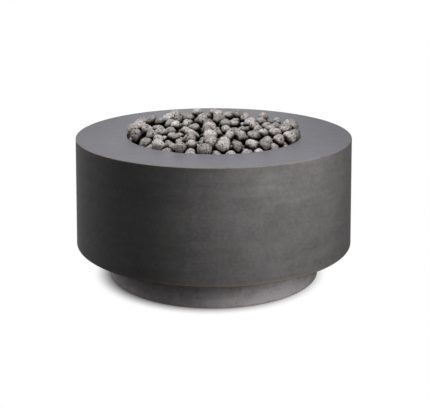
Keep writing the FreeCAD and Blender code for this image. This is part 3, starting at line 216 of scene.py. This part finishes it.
def make_pinholes():
    """Small round holes that trapped air leaves, some in every few cells."""
    tree, given, out = new_group("pinholes", {"Scale": 60.0, "Size": 0.2, "Share": 0.4}, ["Mask"])
    cells = put(tree, "ShaderNodeTexVoronoi")
    plug(tree, cells.inputs["Vector"], object_place(tree))
    plug(tree, cells.inputs["Scale"], given["Scale"])
    chance = channels_of(tree, cells.outputs["Color"])
    picked = calc(tree, "LESS_THAN", chance[0], given["Share"])
    size = calc(tree, "MULTIPLY", given["Size"], span(tree, chance[1], 0.35, 1.0))
    outside = ramp(tree, cells.outputs["Distance"], calc(tree, "MULTIPLY", size, 0.55), size)
    hollow = calc(tree, "SUBTRACT", 1.0, outside)
    plug(tree, out["Mask"], calc(tree, "MULTIPLY", hollow, picked))
    return tree


def make_ring_wear():
    """Rubbed line along a round edge, broken up a little."""
    tree, given, out = new_group("ring wear", {"Radius": 0.48, "Height": 0.5, "Width": 0.006}, ["Mask"])
    place = object_place(tree)
    x, y, z = axes_of(tree, place)
    across = calc(tree, "SUBTRACT", distance(tree, x, y), given["Radius"])
    above = calc(tree, "SUBTRACT", z, given["Height"])
    away = distance(tree, across, above)
    broken = span(tree, noise(tree, place, 26.0, detail=5.0, rough=0.7), -0.5, 2.2)
    ragged = calc(tree, "MULTIPLY", given["Width"], broken)
    untouched = ramp(tree, calc(tree, "DIVIDE", away, ragged), 0.5, 1.0)
    plug(tree, out["Mask"], calc(tree, "SUBTRACT", 1.0, untouched))
    return tree


def make_painted_light_patch():
    """Painted pool of light: a pale patch round a point, wider than high, with ragged edges."""
    tree, given, out = new_group("painted light patch", {"X": 0.0, "Y": 0.0, "Z": 0.0, "Size": 0.1}, ["Mask"])
    place = object_place(tree)
    squares = 0.0
    for along, label, weight in zip(axes_of(tree, place), ("X", "Y", "Z"), (1.0, 1.0, 4.0)):
        away = calc(tree, "SUBTRACT", along, given[label])
        square = calc(tree, "MULTIPLY", away, away)
        squares = calc(tree, "ADD", squares, calc(tree, "MULTIPLY", square, weight))
    reach = calc(tree, "DIVIDE", calc(tree, "SQRT", squares), given["Size"])
    frayed = span(tree, noise(tree, place, 14.0, detail=5.0, rough=0.65), -0.45, 0.45)
    ragged = calc(tree, "ADD", reach, frayed)
    plug(tree, out["Mask"], calc(tree, "SUBTRACT", 1.0, ramp(tree, ragged, 0.3, 1.0)))
    return tree


def make_speckle():
    """Fine grain with a slow change under it, for moulded and plated pieces."""
    tree, given, out = new_group("speckle", {"Fine": 900.0, "Slow": 30.0}, ["Grain", "Cloud"])
    place = object_place(tree)
    plug(tree, out["Grain"], noise(tree, place, given["Fine"], detail=2.0, rough=0.6))
    plug(tree, out["Cloud"], noise(tree, place, given["Slow"], detail=4.0, rough=0.6))
    return tree


def make_brushed_lines():
    """Fine lines along X that a brush leaves on sheet metal."""
    tree, given, out = new_group("brushed lines", {"Along": 14.0, "Across": 1500.0}, ["Lines", "Cloud"])
    place = object_place(tree)
    scale = put(tree, "ShaderNodeCombineXYZ")
    for number, label in enumerate(("Along", "Across", "Across")):
        plug(tree, scale.inputs[number], given[label])
    drawn_out = stretched(tree, place, scale.outputs[0])
    plug(tree, out["Lines"], noise(tree, drawn_out, 1.0, detail=3.0, rough=0.6))
    plug(tree, out["Cloud"], noise(tree, place, 24.0, detail=4.0, rough=0.6))
    return tree


cast_mottle = make_cast_mottle()
pinholes = make_pinholes()
ring_wear = make_ring_wear()
painted_light_patch = make_painted_light_patch()
speckle = make_speckle()
brushed_lines = make_brushed_lines()


# Finishes


PAINTED_LIGHT_TINT = colour(0.875, 0.835, 0.85)  # pale tint of the painted light on the concrete
AIR_HOLE = colour(0.05, 0.048, 0.045)
LAVA_PORE = colour(0.02, 0.018, 0.017)
# painted shade between the stones, darkest where neighbours crowd a stone
PAINTED_GAP_SHADE = colour(0.010, 0.009, 0.008)
SOOT_ON_STEEL = colour(0.045, 0.041, 0.038)
FIRE_RADIUS = opening_radius + 0.02  # steel within it lies in the fire
SOOT_DEPTH = 0.03  # under the rim, from where down the steel is sootiest
POINTER_HALF_WIDTH = 0.00105
POINTER_START = 0.0019  # above the middle of the knob
POINTER_DEPTH = 0.0012


def cast_concrete(name, wall, wall_pale, flat, flat_pale, worn, edges, clouds, dust_and_foot_light, light_patch):
    """Cast concrete: upright faces, trowelled flat top, rubbed edges, painted light towards the foot and a
    painted pool of light.
    """
    material, tree, surface = new_finish(name)
    tone, grain = use(tree, cast_mottle, Clouds=clouds)
    small_holes = use(tree, pinholes, Scale=150.0, Size=0.26, Share=0.16)["Mask"]
    large_holes = use(tree, pinholes, Scale=42.0, Size=0.10, Share=0.22)["Mask"]
    holes = calc(tree, "MAXIMUM", small_holes, large_holes)
    normal = put(tree, "ShaderNodeNewGeometry").outputs["Normal"]
    facing_up = ramp(tree, axes_of(tree, normal)[2], 0.6, 0.95)
    upright = blend(tree, tone, wall, wall_pale)
    base = blend(tree, facing_up, upright, blend(tree, tone, flat, flat_pale))
    # painted light: the concrete turns paler towards the floor, standing in for the light below the drum's
    # shade
    above_floor = ramp(tree, axes_of(tree, object_place(tree))[2], 0.0, drum_low.z)
    uneven = span(tree, tone, 0.55, 1.3)
    dust_and_foot_light_share = calc(tree, "MULTIPLY", span(tree, above_floor, dust_and_foot_light, 0.0), uneven, clamp=True)
    base = blend(tree, dust_and_foot_light_share, base, PAINTED_LIGHT_TINT)
    # painted light: a pale patch where the key light falls on the wall
    spot, size, share = light_patch
    pale = use(tree, painted_light_patch, X=spot.x, Y=spot.y, Z=spot.z, Size=size)["Mask"]
    lit_patch_share = calc(tree, "MULTIPLY", calc(tree, "MULTIPLY", pale, share), uneven, clamp=True)
    base = blend(tree, lit_patch_share, base, PAINTED_LIGHT_TINT)
    rubbed = 0.0
    for radius, height, width in edges:
        mask = use(tree, ring_wear, Radius=radius, Height=height, Width=width)["Mask"]
        rubbed = calc(tree, "MAXIMUM", rubbed, mask)
    base = blend(tree, calc(tree, "MULTIPLY", rubbed, 0.7), base, worn)
    base = blend(tree, calc(tree, "MULTIPLY", holes, 0.6), base, AIR_HOLE)
    base = blend(tree, span(tree, grain, 0.0, 0.10), base, colour(0.06, 0.06, 0.06))
    plug(tree, surface["Base Color"], base)
    satin = calc(tree, "ADD", span(tree, tone, 0.60, 0.72), calc(tree, "MULTIPLY", holes, 0.2))
    plug(tree, surface["Roughness"], calc(tree, "SUBTRACT", satin, calc(tree, "MULTIPLY", facing_up, 0.06)))
    height = calc(tree, "SUBTRACT", calc(tree, "ADD", calc(tree, "MULTIPLY", grain, 0.22),
                                         calc(tree, "MULTIPLY", tone, 0.3)), holes)
    plug(tree, surface["Normal"], bumped(tree, height, strength=0.35, depth=0.0012))
    surface["Specular IOR Level"].default_value = 0.05
    return material


def lava_stone(name):
    """Tumbled lava: each stone its own grey, with open pores of two sizes and painted shade in the gaps."""
    material, tree, surface = new_finish(name)
    own = put(tree, "ShaderNodeAttribute", attribute_name="stone_tone_and_gap_shade")
    shade, warmth, crowded = channels_of(tree, own.outputs["Color"])
    place = object_place(tree)
    patches = noise(tree, place, 150.0, detail=4.0, rough=0.75)
    grain = noise(tree, place, 330.0, detail=3.0, rough=0.75)
    wide_pores = use(tree, pinholes, Scale=115.0, Size=0.46, Share=0.55)["Mask"]
    fine_pores = use(tree, pinholes, Scale=240.0, Size=0.52, Share=0.65)["Mask"]
    pores = calc(tree, "MAXIMUM", calc(tree, "MULTIPLY", wide_pores, 0.95),
                 calc(tree, "MULTIPLY", fine_pores, 0.75))
    cool = blend(tree, shade, colour(0.31, 0.292, 0.277), colour(0.86, 0.815, 0.775))
    warm = blend(tree, shade, colour(0.377, 0.32, 0.285), colour(0.89, 0.80, 0.732))
    base = blend(tree, warmth, cool, warm)
    dark_patches = span(tree, ramp(tree, patches, 0.46, 0.60), 0.0, 0.7)
    base = blend(tree, dark_patches, base, colour(0.12, 0.112, 0.106))
    pale_grains = span(tree, ramp(tree, grain, 0.50, 0.64), 0.0, 0.65)
    base = blend(tree, pale_grains, base, colour(0.90, 0.87, 0.83))
    base = blend(tree, pores, base, LAVA_PORE)
    # painted shade: darker where neighbouring stones crowd a point
    base = blend(tree, ramp(tree, crowded, 0.17, 0.61), base, PAINTED_GAP_SHADE)
    plug(tree, surface["Base Color"], base)
    plug(tree, surface["Roughness"], span(tree, grain, 0.78, 0.95))
    surface["Specular IOR Level"].default_value = 0.02
    height = calc(tree, "SUBTRACT", calc(tree, "ADD", calc(tree, "MULTIPLY", grain, 0.4),
                                         calc(tree, "MULTIPLY", patches, 0.6)), pores)
    plug(tree, surface["Normal"], bumped(tree, height, strength=1.0, depth=0.0036))
    return material


def brushed_metal(name, tint, dull, rough):
    """Brushed sheet and tube; what lies in the fire is sooty, and less so near the rim of the pan."""
    material, tree, surface = new_finish(name)
    lines, cloud = use(tree, brushed_lines)
    x, y, z = axes_of(tree, object_place(tree))
    in_fire = calc(tree, "LESS_THAN", distance(tree, x, y), FIRE_RADIUS)
    deep = span(tree, ramp(tree, z, drum_high.z - SOOT_DEPTH, drum_high.z), 1.0, 0.5)
    burnt = calc(tree, "MULTIPLY", calc(tree, "MULTIPLY", in_fire, deep), span(tree, cloud, 0.85, 1.0))
    clean = blend(tree, span(tree, cloud, 0.0, 0.6), tint, dull)
    plug(tree, surface["Base Color"], blend(tree, burnt, clean, SOOT_ON_STEEL))
    surface["Metallic"].default_value = 1.0
    brushed = span(tree, lines, rough - 0.09, rough + 0.09)
    plug(tree, surface["Roughness"], calc(tree, "ADD", brushed, calc(tree, "MULTIPLY", burnt, 0.3)))
    plug(tree, surface["Normal"], bumped(tree, lines, strength=0.12, depth=0.0004))
    return material


def plated_metal(name, tint, dull, rough, slow=60.0):
    """Plated or cast metal with a cloudy, slightly dulled face."""
    material, tree, surface = new_finish(name)
    grain, cloud = use(tree, speckle, Fine=1400.0, Slow=slow)
    plug(tree, surface["Base Color"], blend(tree, ramp(tree, cloud, 0.35, 0.7), tint, dull))
    surface["Metallic"].default_value = 1.0
    plug(tree, surface["Roughness"], span(tree, cloud, rough - 0.08, rough + 0.12))
    plug(tree, surface["Normal"], bumped(tree, grain, strength=0.10, depth=0.0003))
    return material


def moulded(name, tint, dusty, rough, dust_and_foot_light):
    """Moulded plastic, rubber or ceramic with a fine skin, a little dusty."""
    material, tree, surface = new_finish(name)
    grain, cloud = use(tree, speckle, Fine=1100.0, Slow=45.0)
    dust_and_foot_light_share = calc(tree, "MULTIPLY", ramp(tree, cloud, 0.4, 0.75), dust_and_foot_light)
    plug(tree, surface["Base Color"], blend(tree, dust_and_foot_light_share, tint, dusty))
    plug(tree, surface["Roughness"], span(tree, grain, rough - 0.06, rough + 0.08))
    plug(tree, surface["Normal"], bumped(tree, grain, strength=0.18, depth=0.0004))
    return material


def knob_finish(name):
    """Black moulded knob with paint in its pointer groove."""
    material, tree, surface = new_finish(name)
    grain, cloud = use(tree, speckle, Fine=1100.0, Slow=60.0)
    x, y, z = axes_of(tree, object_place(tree))
    middle = (knob_low + knob_high) / 2
    sideways = calc(tree, "ABSOLUTE", calc(tree, "SUBTRACT", x, middle.x))
    groove = calc(tree, "LESS_THAN", sideways, POINTER_HALF_WIDTH)
    upper = calc(tree, "GREATER_THAN", z, middle.z + POINTER_START)
    front = calc(tree, "GREATER_THAN", y, knob_high.y - POINTER_DEPTH)
    painted = calc(tree, "MULTIPLY", calc(tree, "MULTIPLY", groove, upper), front)
    black = blend(tree, span(tree, cloud, 0.0, 0.25), colour(0.018, 0.018, 0.019), colour(0.06, 0.06, 0.06))
    plug(tree, surface["Base Color"], blend(tree, painted, black, colour(0.78, 0.78, 0.76)))
    plug(tree, surface["Roughness"], span(tree, grain, 0.38, 0.52))
    plug(tree, surface["Normal"], bumped(tree, grain, strength=0.15, depth=0.0004))
    return material


def braided_hose(name):
    """Steel braid: two sets of slanted strands."""
    material, tree, surface = new_finish(name)
    place = object_place(tree)
    strands = []
    for slant in (1.0, -1.0):
        wave = put(tree, "ShaderNodeTexWave")
        plug(tree, wave.inputs["Vector"], stretched(tree, place, (slant, 1.0, slant)))
        wave.inputs["Scale"].default_value = 90.0
        strands.append(wave.outputs[1])
    woven = calc(tree, "MAXIMUM", *strands)
    cloud = use(tree, speckle, Slow=40.0)["Cloud"]
    bright = blend(tree, woven, colour(0.22, 0.22, 0.22), colour(0.58, 0.58, 0.57))
    dulled = span(tree, cloud, 0.0, 0.3)
    plug(tree, surface["Base Color"], blend(tree, dulled, bright, colour(0.3, 0.3, 0.29)))
    surface["Metallic"].default_value = 1.0
    plug(tree, surface["Roughness"], span(tree, cloud, 0.3, 0.45))
    plug(tree, surface["Normal"], bumped(tree, woven, strength=0.5, depth=0.0008))
    return material


def on_round(radius, azimuth, height):
    """Point on a round face; azimuth 0 is at the front, and it grows to the right."""
    turn = math.radians(azimuth)
    return Vector((radius * math.sin(turn), -radius * math.cos(turn), height))


# Rubbed edges: radius, height, width of the line
drum_edges = [(top_radius, drum_high.z, 0.0045), (foot_radius, drum_low.z, 0.012),
              (opening_radius, drum_high.z, 0.003)]
plinth_edges = [(plinth_radius, plinth_low.z, 0.010), (plinth_radius, drum_low.z, 0.002)]
# Painted pools of light where the key light falls: place, reach, strength
drum_light_patch = (on_round(top_radius, 20.0, 0.445), 0.09, 0.07)
plinth_light_patch = (on_round(plinth_radius, 34.0, -0.01), 0.26, 1.0)
# The plinth has the same dark and pale tone on its wall and its flat faces
plinth_tones = (colour(0.195, 0.178, 0.178), colour(0.34, 0.312, 0.314))
finishes = {
    "drum_concrete": cast_concrete(
        "drum concrete", colour(0.171, 0.168, 0.166), colour(0.266, 0.260, 0.257),
        colour(0.158, 0.155, 0.170), colour(0.205, 0.201, 0.219), colour(0.34, 0.28, 0.23),
        edges=drum_edges, clouds=4.5, dust_and_foot_light=0.0, light_patch=drum_light_patch),
    # the plinth carries painted light towards its foot and a painted pool of light on its lit side
    "plinth_concrete": cast_concrete(
        "plinth concrete", *plinth_tones, *plinth_tones, colour(0.60, 0.49, 0.42),
        edges=plinth_edges, clouds=9.0, dust_and_foot_light=0.72, light_patch=plinth_light_patch),
    "lava_stone": lava_stone("lava stone"),
    "pad_rubber": moulded(
        "pad rubber", colour(0.02, 0.02, 0.02), colour(0.12, 0.11, 0.10), rough=0.75, dust_and_foot_light=0.5),
    "zinc_steel": plated_metal(
        "zinc plate", colour(0.62, 0.62, 0.60), colour(0.44, 0.44, 0.44), rough=0.36, slow=90.0),
    "stainless": brushed_metal(
        "brushed stainless", colour(0.60, 0.60, 0.59), colour(0.46, 0.455, 0.445), rough=0.32),
    "fitting_brass": plated_metal(
        "fitting brass", colour(0.72, 0.55, 0.27), colour(0.52, 0.37, 0.17), rough=0.30),
    "hose_steel": braided_hose("braided hose"),
    "knob_plastic": knob_finish("knob plastic"),
    "igniter_plastic": moulded(
        "igniter plastic", colour(0.025, 0.025, 0.027), colour(0.1, 0.1, 0.1), rough=0.5, dust_and_foot_light=0.3),
    "bezel_chrome": plated_metal(
        "bezel chrome", colour(0.78, 0.78, 0.78), colour(0.68, 0.68, 0.69), rough=0.14),
    "battery_can": moulded(
        "battery sleeve", colour(0.16, 0.16, 0.18), colour(0.25, 0.25, 0.25), rough=0.3, dust_and_foot_light=0.2),
    "button_plastic": moulded(
        "button plastic", colour(0.03, 0.03, 0.032), colour(0.1, 0.1, 0.1), rough=0.4, dust_and_foot_light=0.25),
    "lead_rubber": moulded(
        "lead rubber", colour(0.03, 0.03, 0.03), colour(0.12, 0.11, 0.1), rough=0.6, dust_and_foot_light=0.4),
    "electrode_ceramic": moulded(
        "electrode ceramic", colour(0.82, 0.81, 0.77), colour(0.5, 0.46, 0.4), rough=0.35, dust_and_foot_light=0.3),
    "lead_copper": plated_metal(
        "capillary copper", colour(0.72, 0.42, 0.28), colour(0.45, 0.25, 0.16), rough=0.32),
}

for subpart in frame["record"]["subparts"]:
    mesh = nodes[subpart["node"]].data
    mesh.materials.clear()
    mesh.materials.append(finishes[subpart["material_slot"]])


# Lava stones: rough forms in the places of the CAD ellipsoids

MERGE_STEP = 1e-6  # corners nearer than this are one
KEY_BITS = 21  # of each axis in a corner's key
NEIGHBOUR_REACH = 0.11  # between middles of stones that shade each other
TOUCHING = 0.065  # between middles of stones that lie side by side
ROUNDER = 0.15  # how far a stone's half axes go towards their mean
ROUGH_ROOM = 0.0045  # left above each stone for its rough face, under the top of the CAD one
FACETS = ("VORONOI", 0.034, -0.004, 0.35)  # texture, its size, depth, level that stays in place
LUMPS = ("CLOUDS", 0.024, 0.009, 0.5)
PITTING = ("CLOUDS", 0.009, 0.0030, 0.5)
SHADE_SPREAD = (1.2, 1.5)  # shape of the spread of greys: more dark stones than pale ones
HEAP_DETAIL = 3  # subdivisions of a pebble that can be seen
BED_DETAIL = 2  # of one out of sight


def ellipsoids(node_name):
    """Centre and half axes of every stone in a CAD node, read from its mesh."""
    mesh = nodes[node_name].data
    points = np.empty(len(mesh.vertices) * 3, np.float32)
    mesh.vertices.foreach_get("co", points)
    points = points.reshape(-1, 3).astype(float)
    corners = np.empty(len(mesh.loops), np.int32)
    mesh.loops.foreach_get("vertex_index", corners)
    steps = np.round((points - points.min(0)) / MERGE_STEP).astype(np.int64)
    keys = (steps[:, 0] << 2 * KEY_BITS) + (steps[:, 1] << KEY_BITS) + steps[:, 2]
    _, first, same = np.unique(keys, return_index=True, return_inverse=True)
    points = points[first]
    triangles = same[corners].reshape(-1, 3)
    label = np.arange(len(points))
    while True:
        least = label[triangles].min(1)
        lower = label.copy()
        for corner in range(3):
            np.minimum.at(lower, triangles[:, corner], least)
        lower = lower[lower]
        if np.array_equal(lower, label):
            break
        label = lower
    found = []
    for stone in np.unique(label):
        own = points[label == stone]
        centre = (own.min(0) + own.max(0)) / 2
        _, axes = np.linalg.eigh(np.cov((own - centre).T))
        axes *= np.abs((own - centre) @ axes).max(0)
        if np.linalg.det(axes) < 0:
            axes[:, 0] *= -1
        found.append((centre, axes))
    return found


def unit_pebble(subdivisions):
    """A tumbled pebble of unit size, a little fuller than a ball."""
    bpy.ops.object.select_all(action="DESELECT")
    bpy.ops.mesh.primitive_ico_sphere_add(subdivisions=subdivisions, radius=1)
    pebble = bpy.context.object
    fuller = pebble.modifiers.new("fuller", "CAST")
    fuller.cast_type = "CUBOID"
    fuller.factor = 0.14
    bpy.ops.object.modifier_apply(modifier="fuller")
    return pebble


def roughen(piece, name, kind, scale, depth, middle):
    """Push the stones' faces in and out by a texture at their own place in the heap."""
    texture = bpy.data.textures.new(name, kind)
    texture.noise_scale = scale
    push = piece.modifiers.new(name, "DISPLACE")
    push.texture = texture
    push.texture_coords = "LOCAL"
    push.strength = depth
    push.mid_level = middle
    bpy.ops.object.modifier_apply(modifier=name)


def crowding(ball, centre, axes, stones):
    """How much of the room in front of each point of a stone its neighbours fill, from 0 to 1."""
    points = ball @ axes.T + centre
    normals = ball @ np.linalg.inv(axes)
    normals /= np.linalg.norm(normals, axis=1, keepdims=True)
    filled = np.zeros(len(points))
    for other, other_axes in stones:
        if 0 < np.linalg.norm(other - centre) < NEIGHBOUR_REACH:
            toward = other - points
            away = np.linalg.norm(toward, axis=1)
            facing = np.clip((normals * toward).sum(1) / away, 0, 1)
            filled += facing * np.cbrt(abs(np.linalg.det(other_axes))) ** 2 / away ** 2
    return 1 - np.exp(-filled)


def half_height(axes):
    """Height of an ellipsoid's top over its middle."""
    return np.linalg.norm(axes[2])


def tumbled(centre, axes):
    """A rounder stone in the place of a CAD ellipsoid, with its top no higher."""
    lengths = np.linalg.norm(axes, axis=0)
    rounder = axes * (1 + ROUNDER * (lengths.mean() / lengths - 1))
    drop = ROUGH_ROOM + half_height(rounder) - half_height(axes)
    return Matrix.Translation(centre - (0.0, 0.0, drop)) @ Matrix(rounder.tolist()).to_4x4()


def own_shade(centre, toned, rng):
    """A grey for a stone, 0 dark to 1 pale: of three tries, the one least like its neighbours'."""
    beside = [shade for other, shade in toned if np.linalg.norm(other - centre) < TOUCHING]
    tries = [rng.betavariate(*SHADE_SPREAD) for _ in range(3)]
    return max(tries, key=lambda shade: min((abs(shade - other) for other in beside), default=0))


def tumble(piece):
    """Break the stones' faces into facets and lumps, wear them smooth and pit them."""
    roughen(piece, piece.name + " facets", *FACETS)
    roughen(piece, piece.name + " lumps", *LUMPS)
    smooth = piece.modifiers.new("worn smooth", "SMOOTH")
    smooth.factor = 0.5
    smooth.iterations = 1
    bpy.ops.object.modifier_apply(modifier="worn smooth")
    roughen(piece, piece.name + " pitting", *PITTING)
    bpy.ops.object.shade_smooth()


def lay_stones(name, node_name, stones, all_stones, subdivisions, rng):
    """One piece of many stones, each a copy of the pebble, then made rough together."""
    pebble = unit_pebble(subdivisions)
    ball = np.array([vertex.co for vertex in pebble.data.vertices])
    bpy.ops.object.select_all(action="DESELECT")
    toned = []
    for centre, axes in stones:
        stone = pebble.copy()
        stone.data = pebble.data.copy()
        bpy.context.collection.objects.link(stone)
        stone.data.transform(tumbled(centre, axes))
        shade = own_shade(centre, toned, rng)
        toned.append((centre, shade))
        tone = np.ones((len(ball), 4), np.float32)
        tone[:, 0] = shade
        tone[:, 1] = rng.random() ** 1.5  # warmth, seldom strong
        # third channel: share of painted shade from the crowding of neighbours
        tone[:, 2] = crowding(ball, centre, axes, all_stones)
        own = stone.data.attributes.new("stone_tone_and_gap_shade", "FLOAT_COLOR", "POINT")
        own.data.foreach_set("color", tone.ravel())
        stone.select_set(True)
        bpy.context.view_layer.objects.active = stone
    bpy.ops.object.join()
    piece = bpy.context.object
    bpy.data.objects.remove(pebble)
    piece.name = name
    tumble(piece)
    piece.data.materials.clear()
    piece.data.materials.append(finishes["lava_stone"])
    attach(piece, "fixed")
    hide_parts(node_name)


stone_rng = random.Random(7)
heap = sorted(ellipsoids("lava_stones_top"), key=lambda stone: stone[0][1])
bed = ellipsoids("lava_stones_bed")
lay_stones("lava_heap", "lava_stones_top", heap, heap + bed, HEAP_DETAIL, stone_rng)
lay_stones("lava_bed", "lava_stones_bed", bed, heap + bed, BED_DETAIL, stone_rng)


# Floor, light and camera

FLOOR_SIZE = 60.0
SHADOW_SHIFT = 0.015  # the shadow at the foot lies this far to the left
AIM = Vector((0.0, 0.0, 0.33))  # the lights point here


def mixed_shader(tree, share, first, second):
    """Mix of two shaders."""
    node = put(tree, "ShaderNodeMixShader")
    for socket, source in zip(node.inputs, (share, first, second)):
        plug(tree, socket, source)
    return node.outputs[0]


def looked_at(tree):
    """1 for rays from the camera, in mirrors and through glass."""
    path = put(tree, "ShaderNodeLightPath").outputs
    either = calc(tree, "MAXIMUM", path["Is Camera Ray"], path["Is Glossy Ray"])
    return calc(tree, "MAXIMUM", either, path["Is Transmission Ray"])


def white_floor():
    """Pale floor: white to the camera but for the shadow at the foot; away from it, dull to the light."""
    bpy.ops.object.select_all(action="DESELECT")
    bpy.ops.mesh.primitive_plane_add(size=FLOOR_SIZE)
    floor = bpy.context.object
    floor.name = "studio_floor"
    material = bpy.data.materials.new("studio floor")
    material.use_nodes = True
    tree = material.node_tree
    tree.nodes.remove(tree.nodes["Principled BSDF"])
    x, y, _ = axes_of(tree, object_place(tree))
    radius = distance(tree, calc(tree, "ADD", x, SHADOW_SHIFT), y)
    clear = ramp(tree, radius, plinth_radius - 0.03, plinth_radius + 0.05)
    paper = put(tree, "ShaderNodeBsdfDiffuse")
    paper.inputs["Color"].default_value = colour(0.8, 0.8, 0.8)
    white = put(tree, "ShaderNodeEmission")
    seen = mixed_shader(tree, clear, paper.outputs[0], white.outputs[0])
    dull = put(tree, "ShaderNodeBsdfDiffuse")
    past_foot = ramp(tree, radius, plinth_radius + 0.05, plinth_radius + 0.12)
    lit = blend(tree, past_foot, colour(0.55, 0.55, 0.55), colour(0.06, 0.06, 0.06))
    plug(tree, dull.inputs["Color"], lit)
    final = mixed_shader(tree, looked_at(tree), dull.outputs[0], seen)
    plug(tree, tree.nodes["Material Output"].inputs["Surface"], final)
    floor.data.materials.append(material)


def white_surroundings():
    """A weak even fill, and plain white where the camera or a mirror looks past the object."""
    world = bpy.data.worlds.new("studio")
    world.use_nodes = True
    scene.world = world
    tree = world.node_tree
    fill = tree.nodes["Background"]
    fill.inputs["Color"].default_value = colour(1.0, 1.0, 1.0)
    fill.inputs["Strength"].default_value = 0.007
    white = put(tree, "ShaderNodeBackground")
    white.inputs["Color"].default_value = colour(1.0, 1.0, 1.0)
    final = mixed_shader(tree, looked_at(tree), fill.outputs[0], white.outputs[0])
    plug(tree, tree.nodes["World Output"].inputs["Surface"], final)


def softbox(name, azimuth, elevation, away, width, height, watts, tint):
    """Soft light; azimuth 0 is at the camera's side, and it grows to the right."""
    turn = math.radians(azimuth)
    lift = math.radians(elevation)
    toward = Vector((math.sin(turn) * math.cos(lift), -math.cos(turn) * math.cos(lift), math.sin(lift)))
    bpy.ops.object.light_add(type="AREA", location=AIM + toward * away,
                             rotation=toward.to_track_quat("Z", "Y").to_euler())
    lamp = bpy.context.object
    lamp.name = name
    lamp.data.shape = "RECTANGLE"
    lamp.data.size = width
    lamp.data.size_y = height
    lamp.data.energy = watts
    lamp.data.color = tint


def photo_camera():
    """Camera fitted to the edges of the drum and the plinth in the photograph, taken as 430 by 408."""
    lift = math.radians(16.849)
    away = 3.2415
    target = Vector((0.0, 0.0, 0.2465))
    bpy.ops.object.camera_add(location=target + Vector((0.0, -math.cos(lift), math.sin(lift))) * away,
                              rotation=(math.pi / 2 - lift, 0.0, 0.0))
    camera = bpy.context.object
    camera.name = "photo_camera"
    camera.data.sensor_fit = "HORIZONTAL"
    camera.data.sensor_width = 36.0
    camera.data.lens = 75.36
    camera.data.shift_x = 0.0029
    scene.camera = camera


white_floor()
white_surroundings()
softbox("key_light", azimuth=32, elevation=16, away=1.15,
        width=0.50, height=0.9, watts=4.85, tint=(1.0, 0.985, 0.985))
softbox("rim_light", azimuth=-97, elevation=14, away=2.2,
        width=0.7, height=0.7, watts=7.2, tint=(0.97, 0.98, 1.0))
softbox("top_light", azimuth=-38, elevation=77, away=1.56,
        width=0.25, height=0.25, watts=18.0, tint=(0.98, 0.98, 1.0))
softbox("back_light", azimuth=180, elevation=15, away=2.2,
        width=0.9, height=0.9, watts=10.5, tint=(0.97, 0.98, 1.0))
photo_camera()
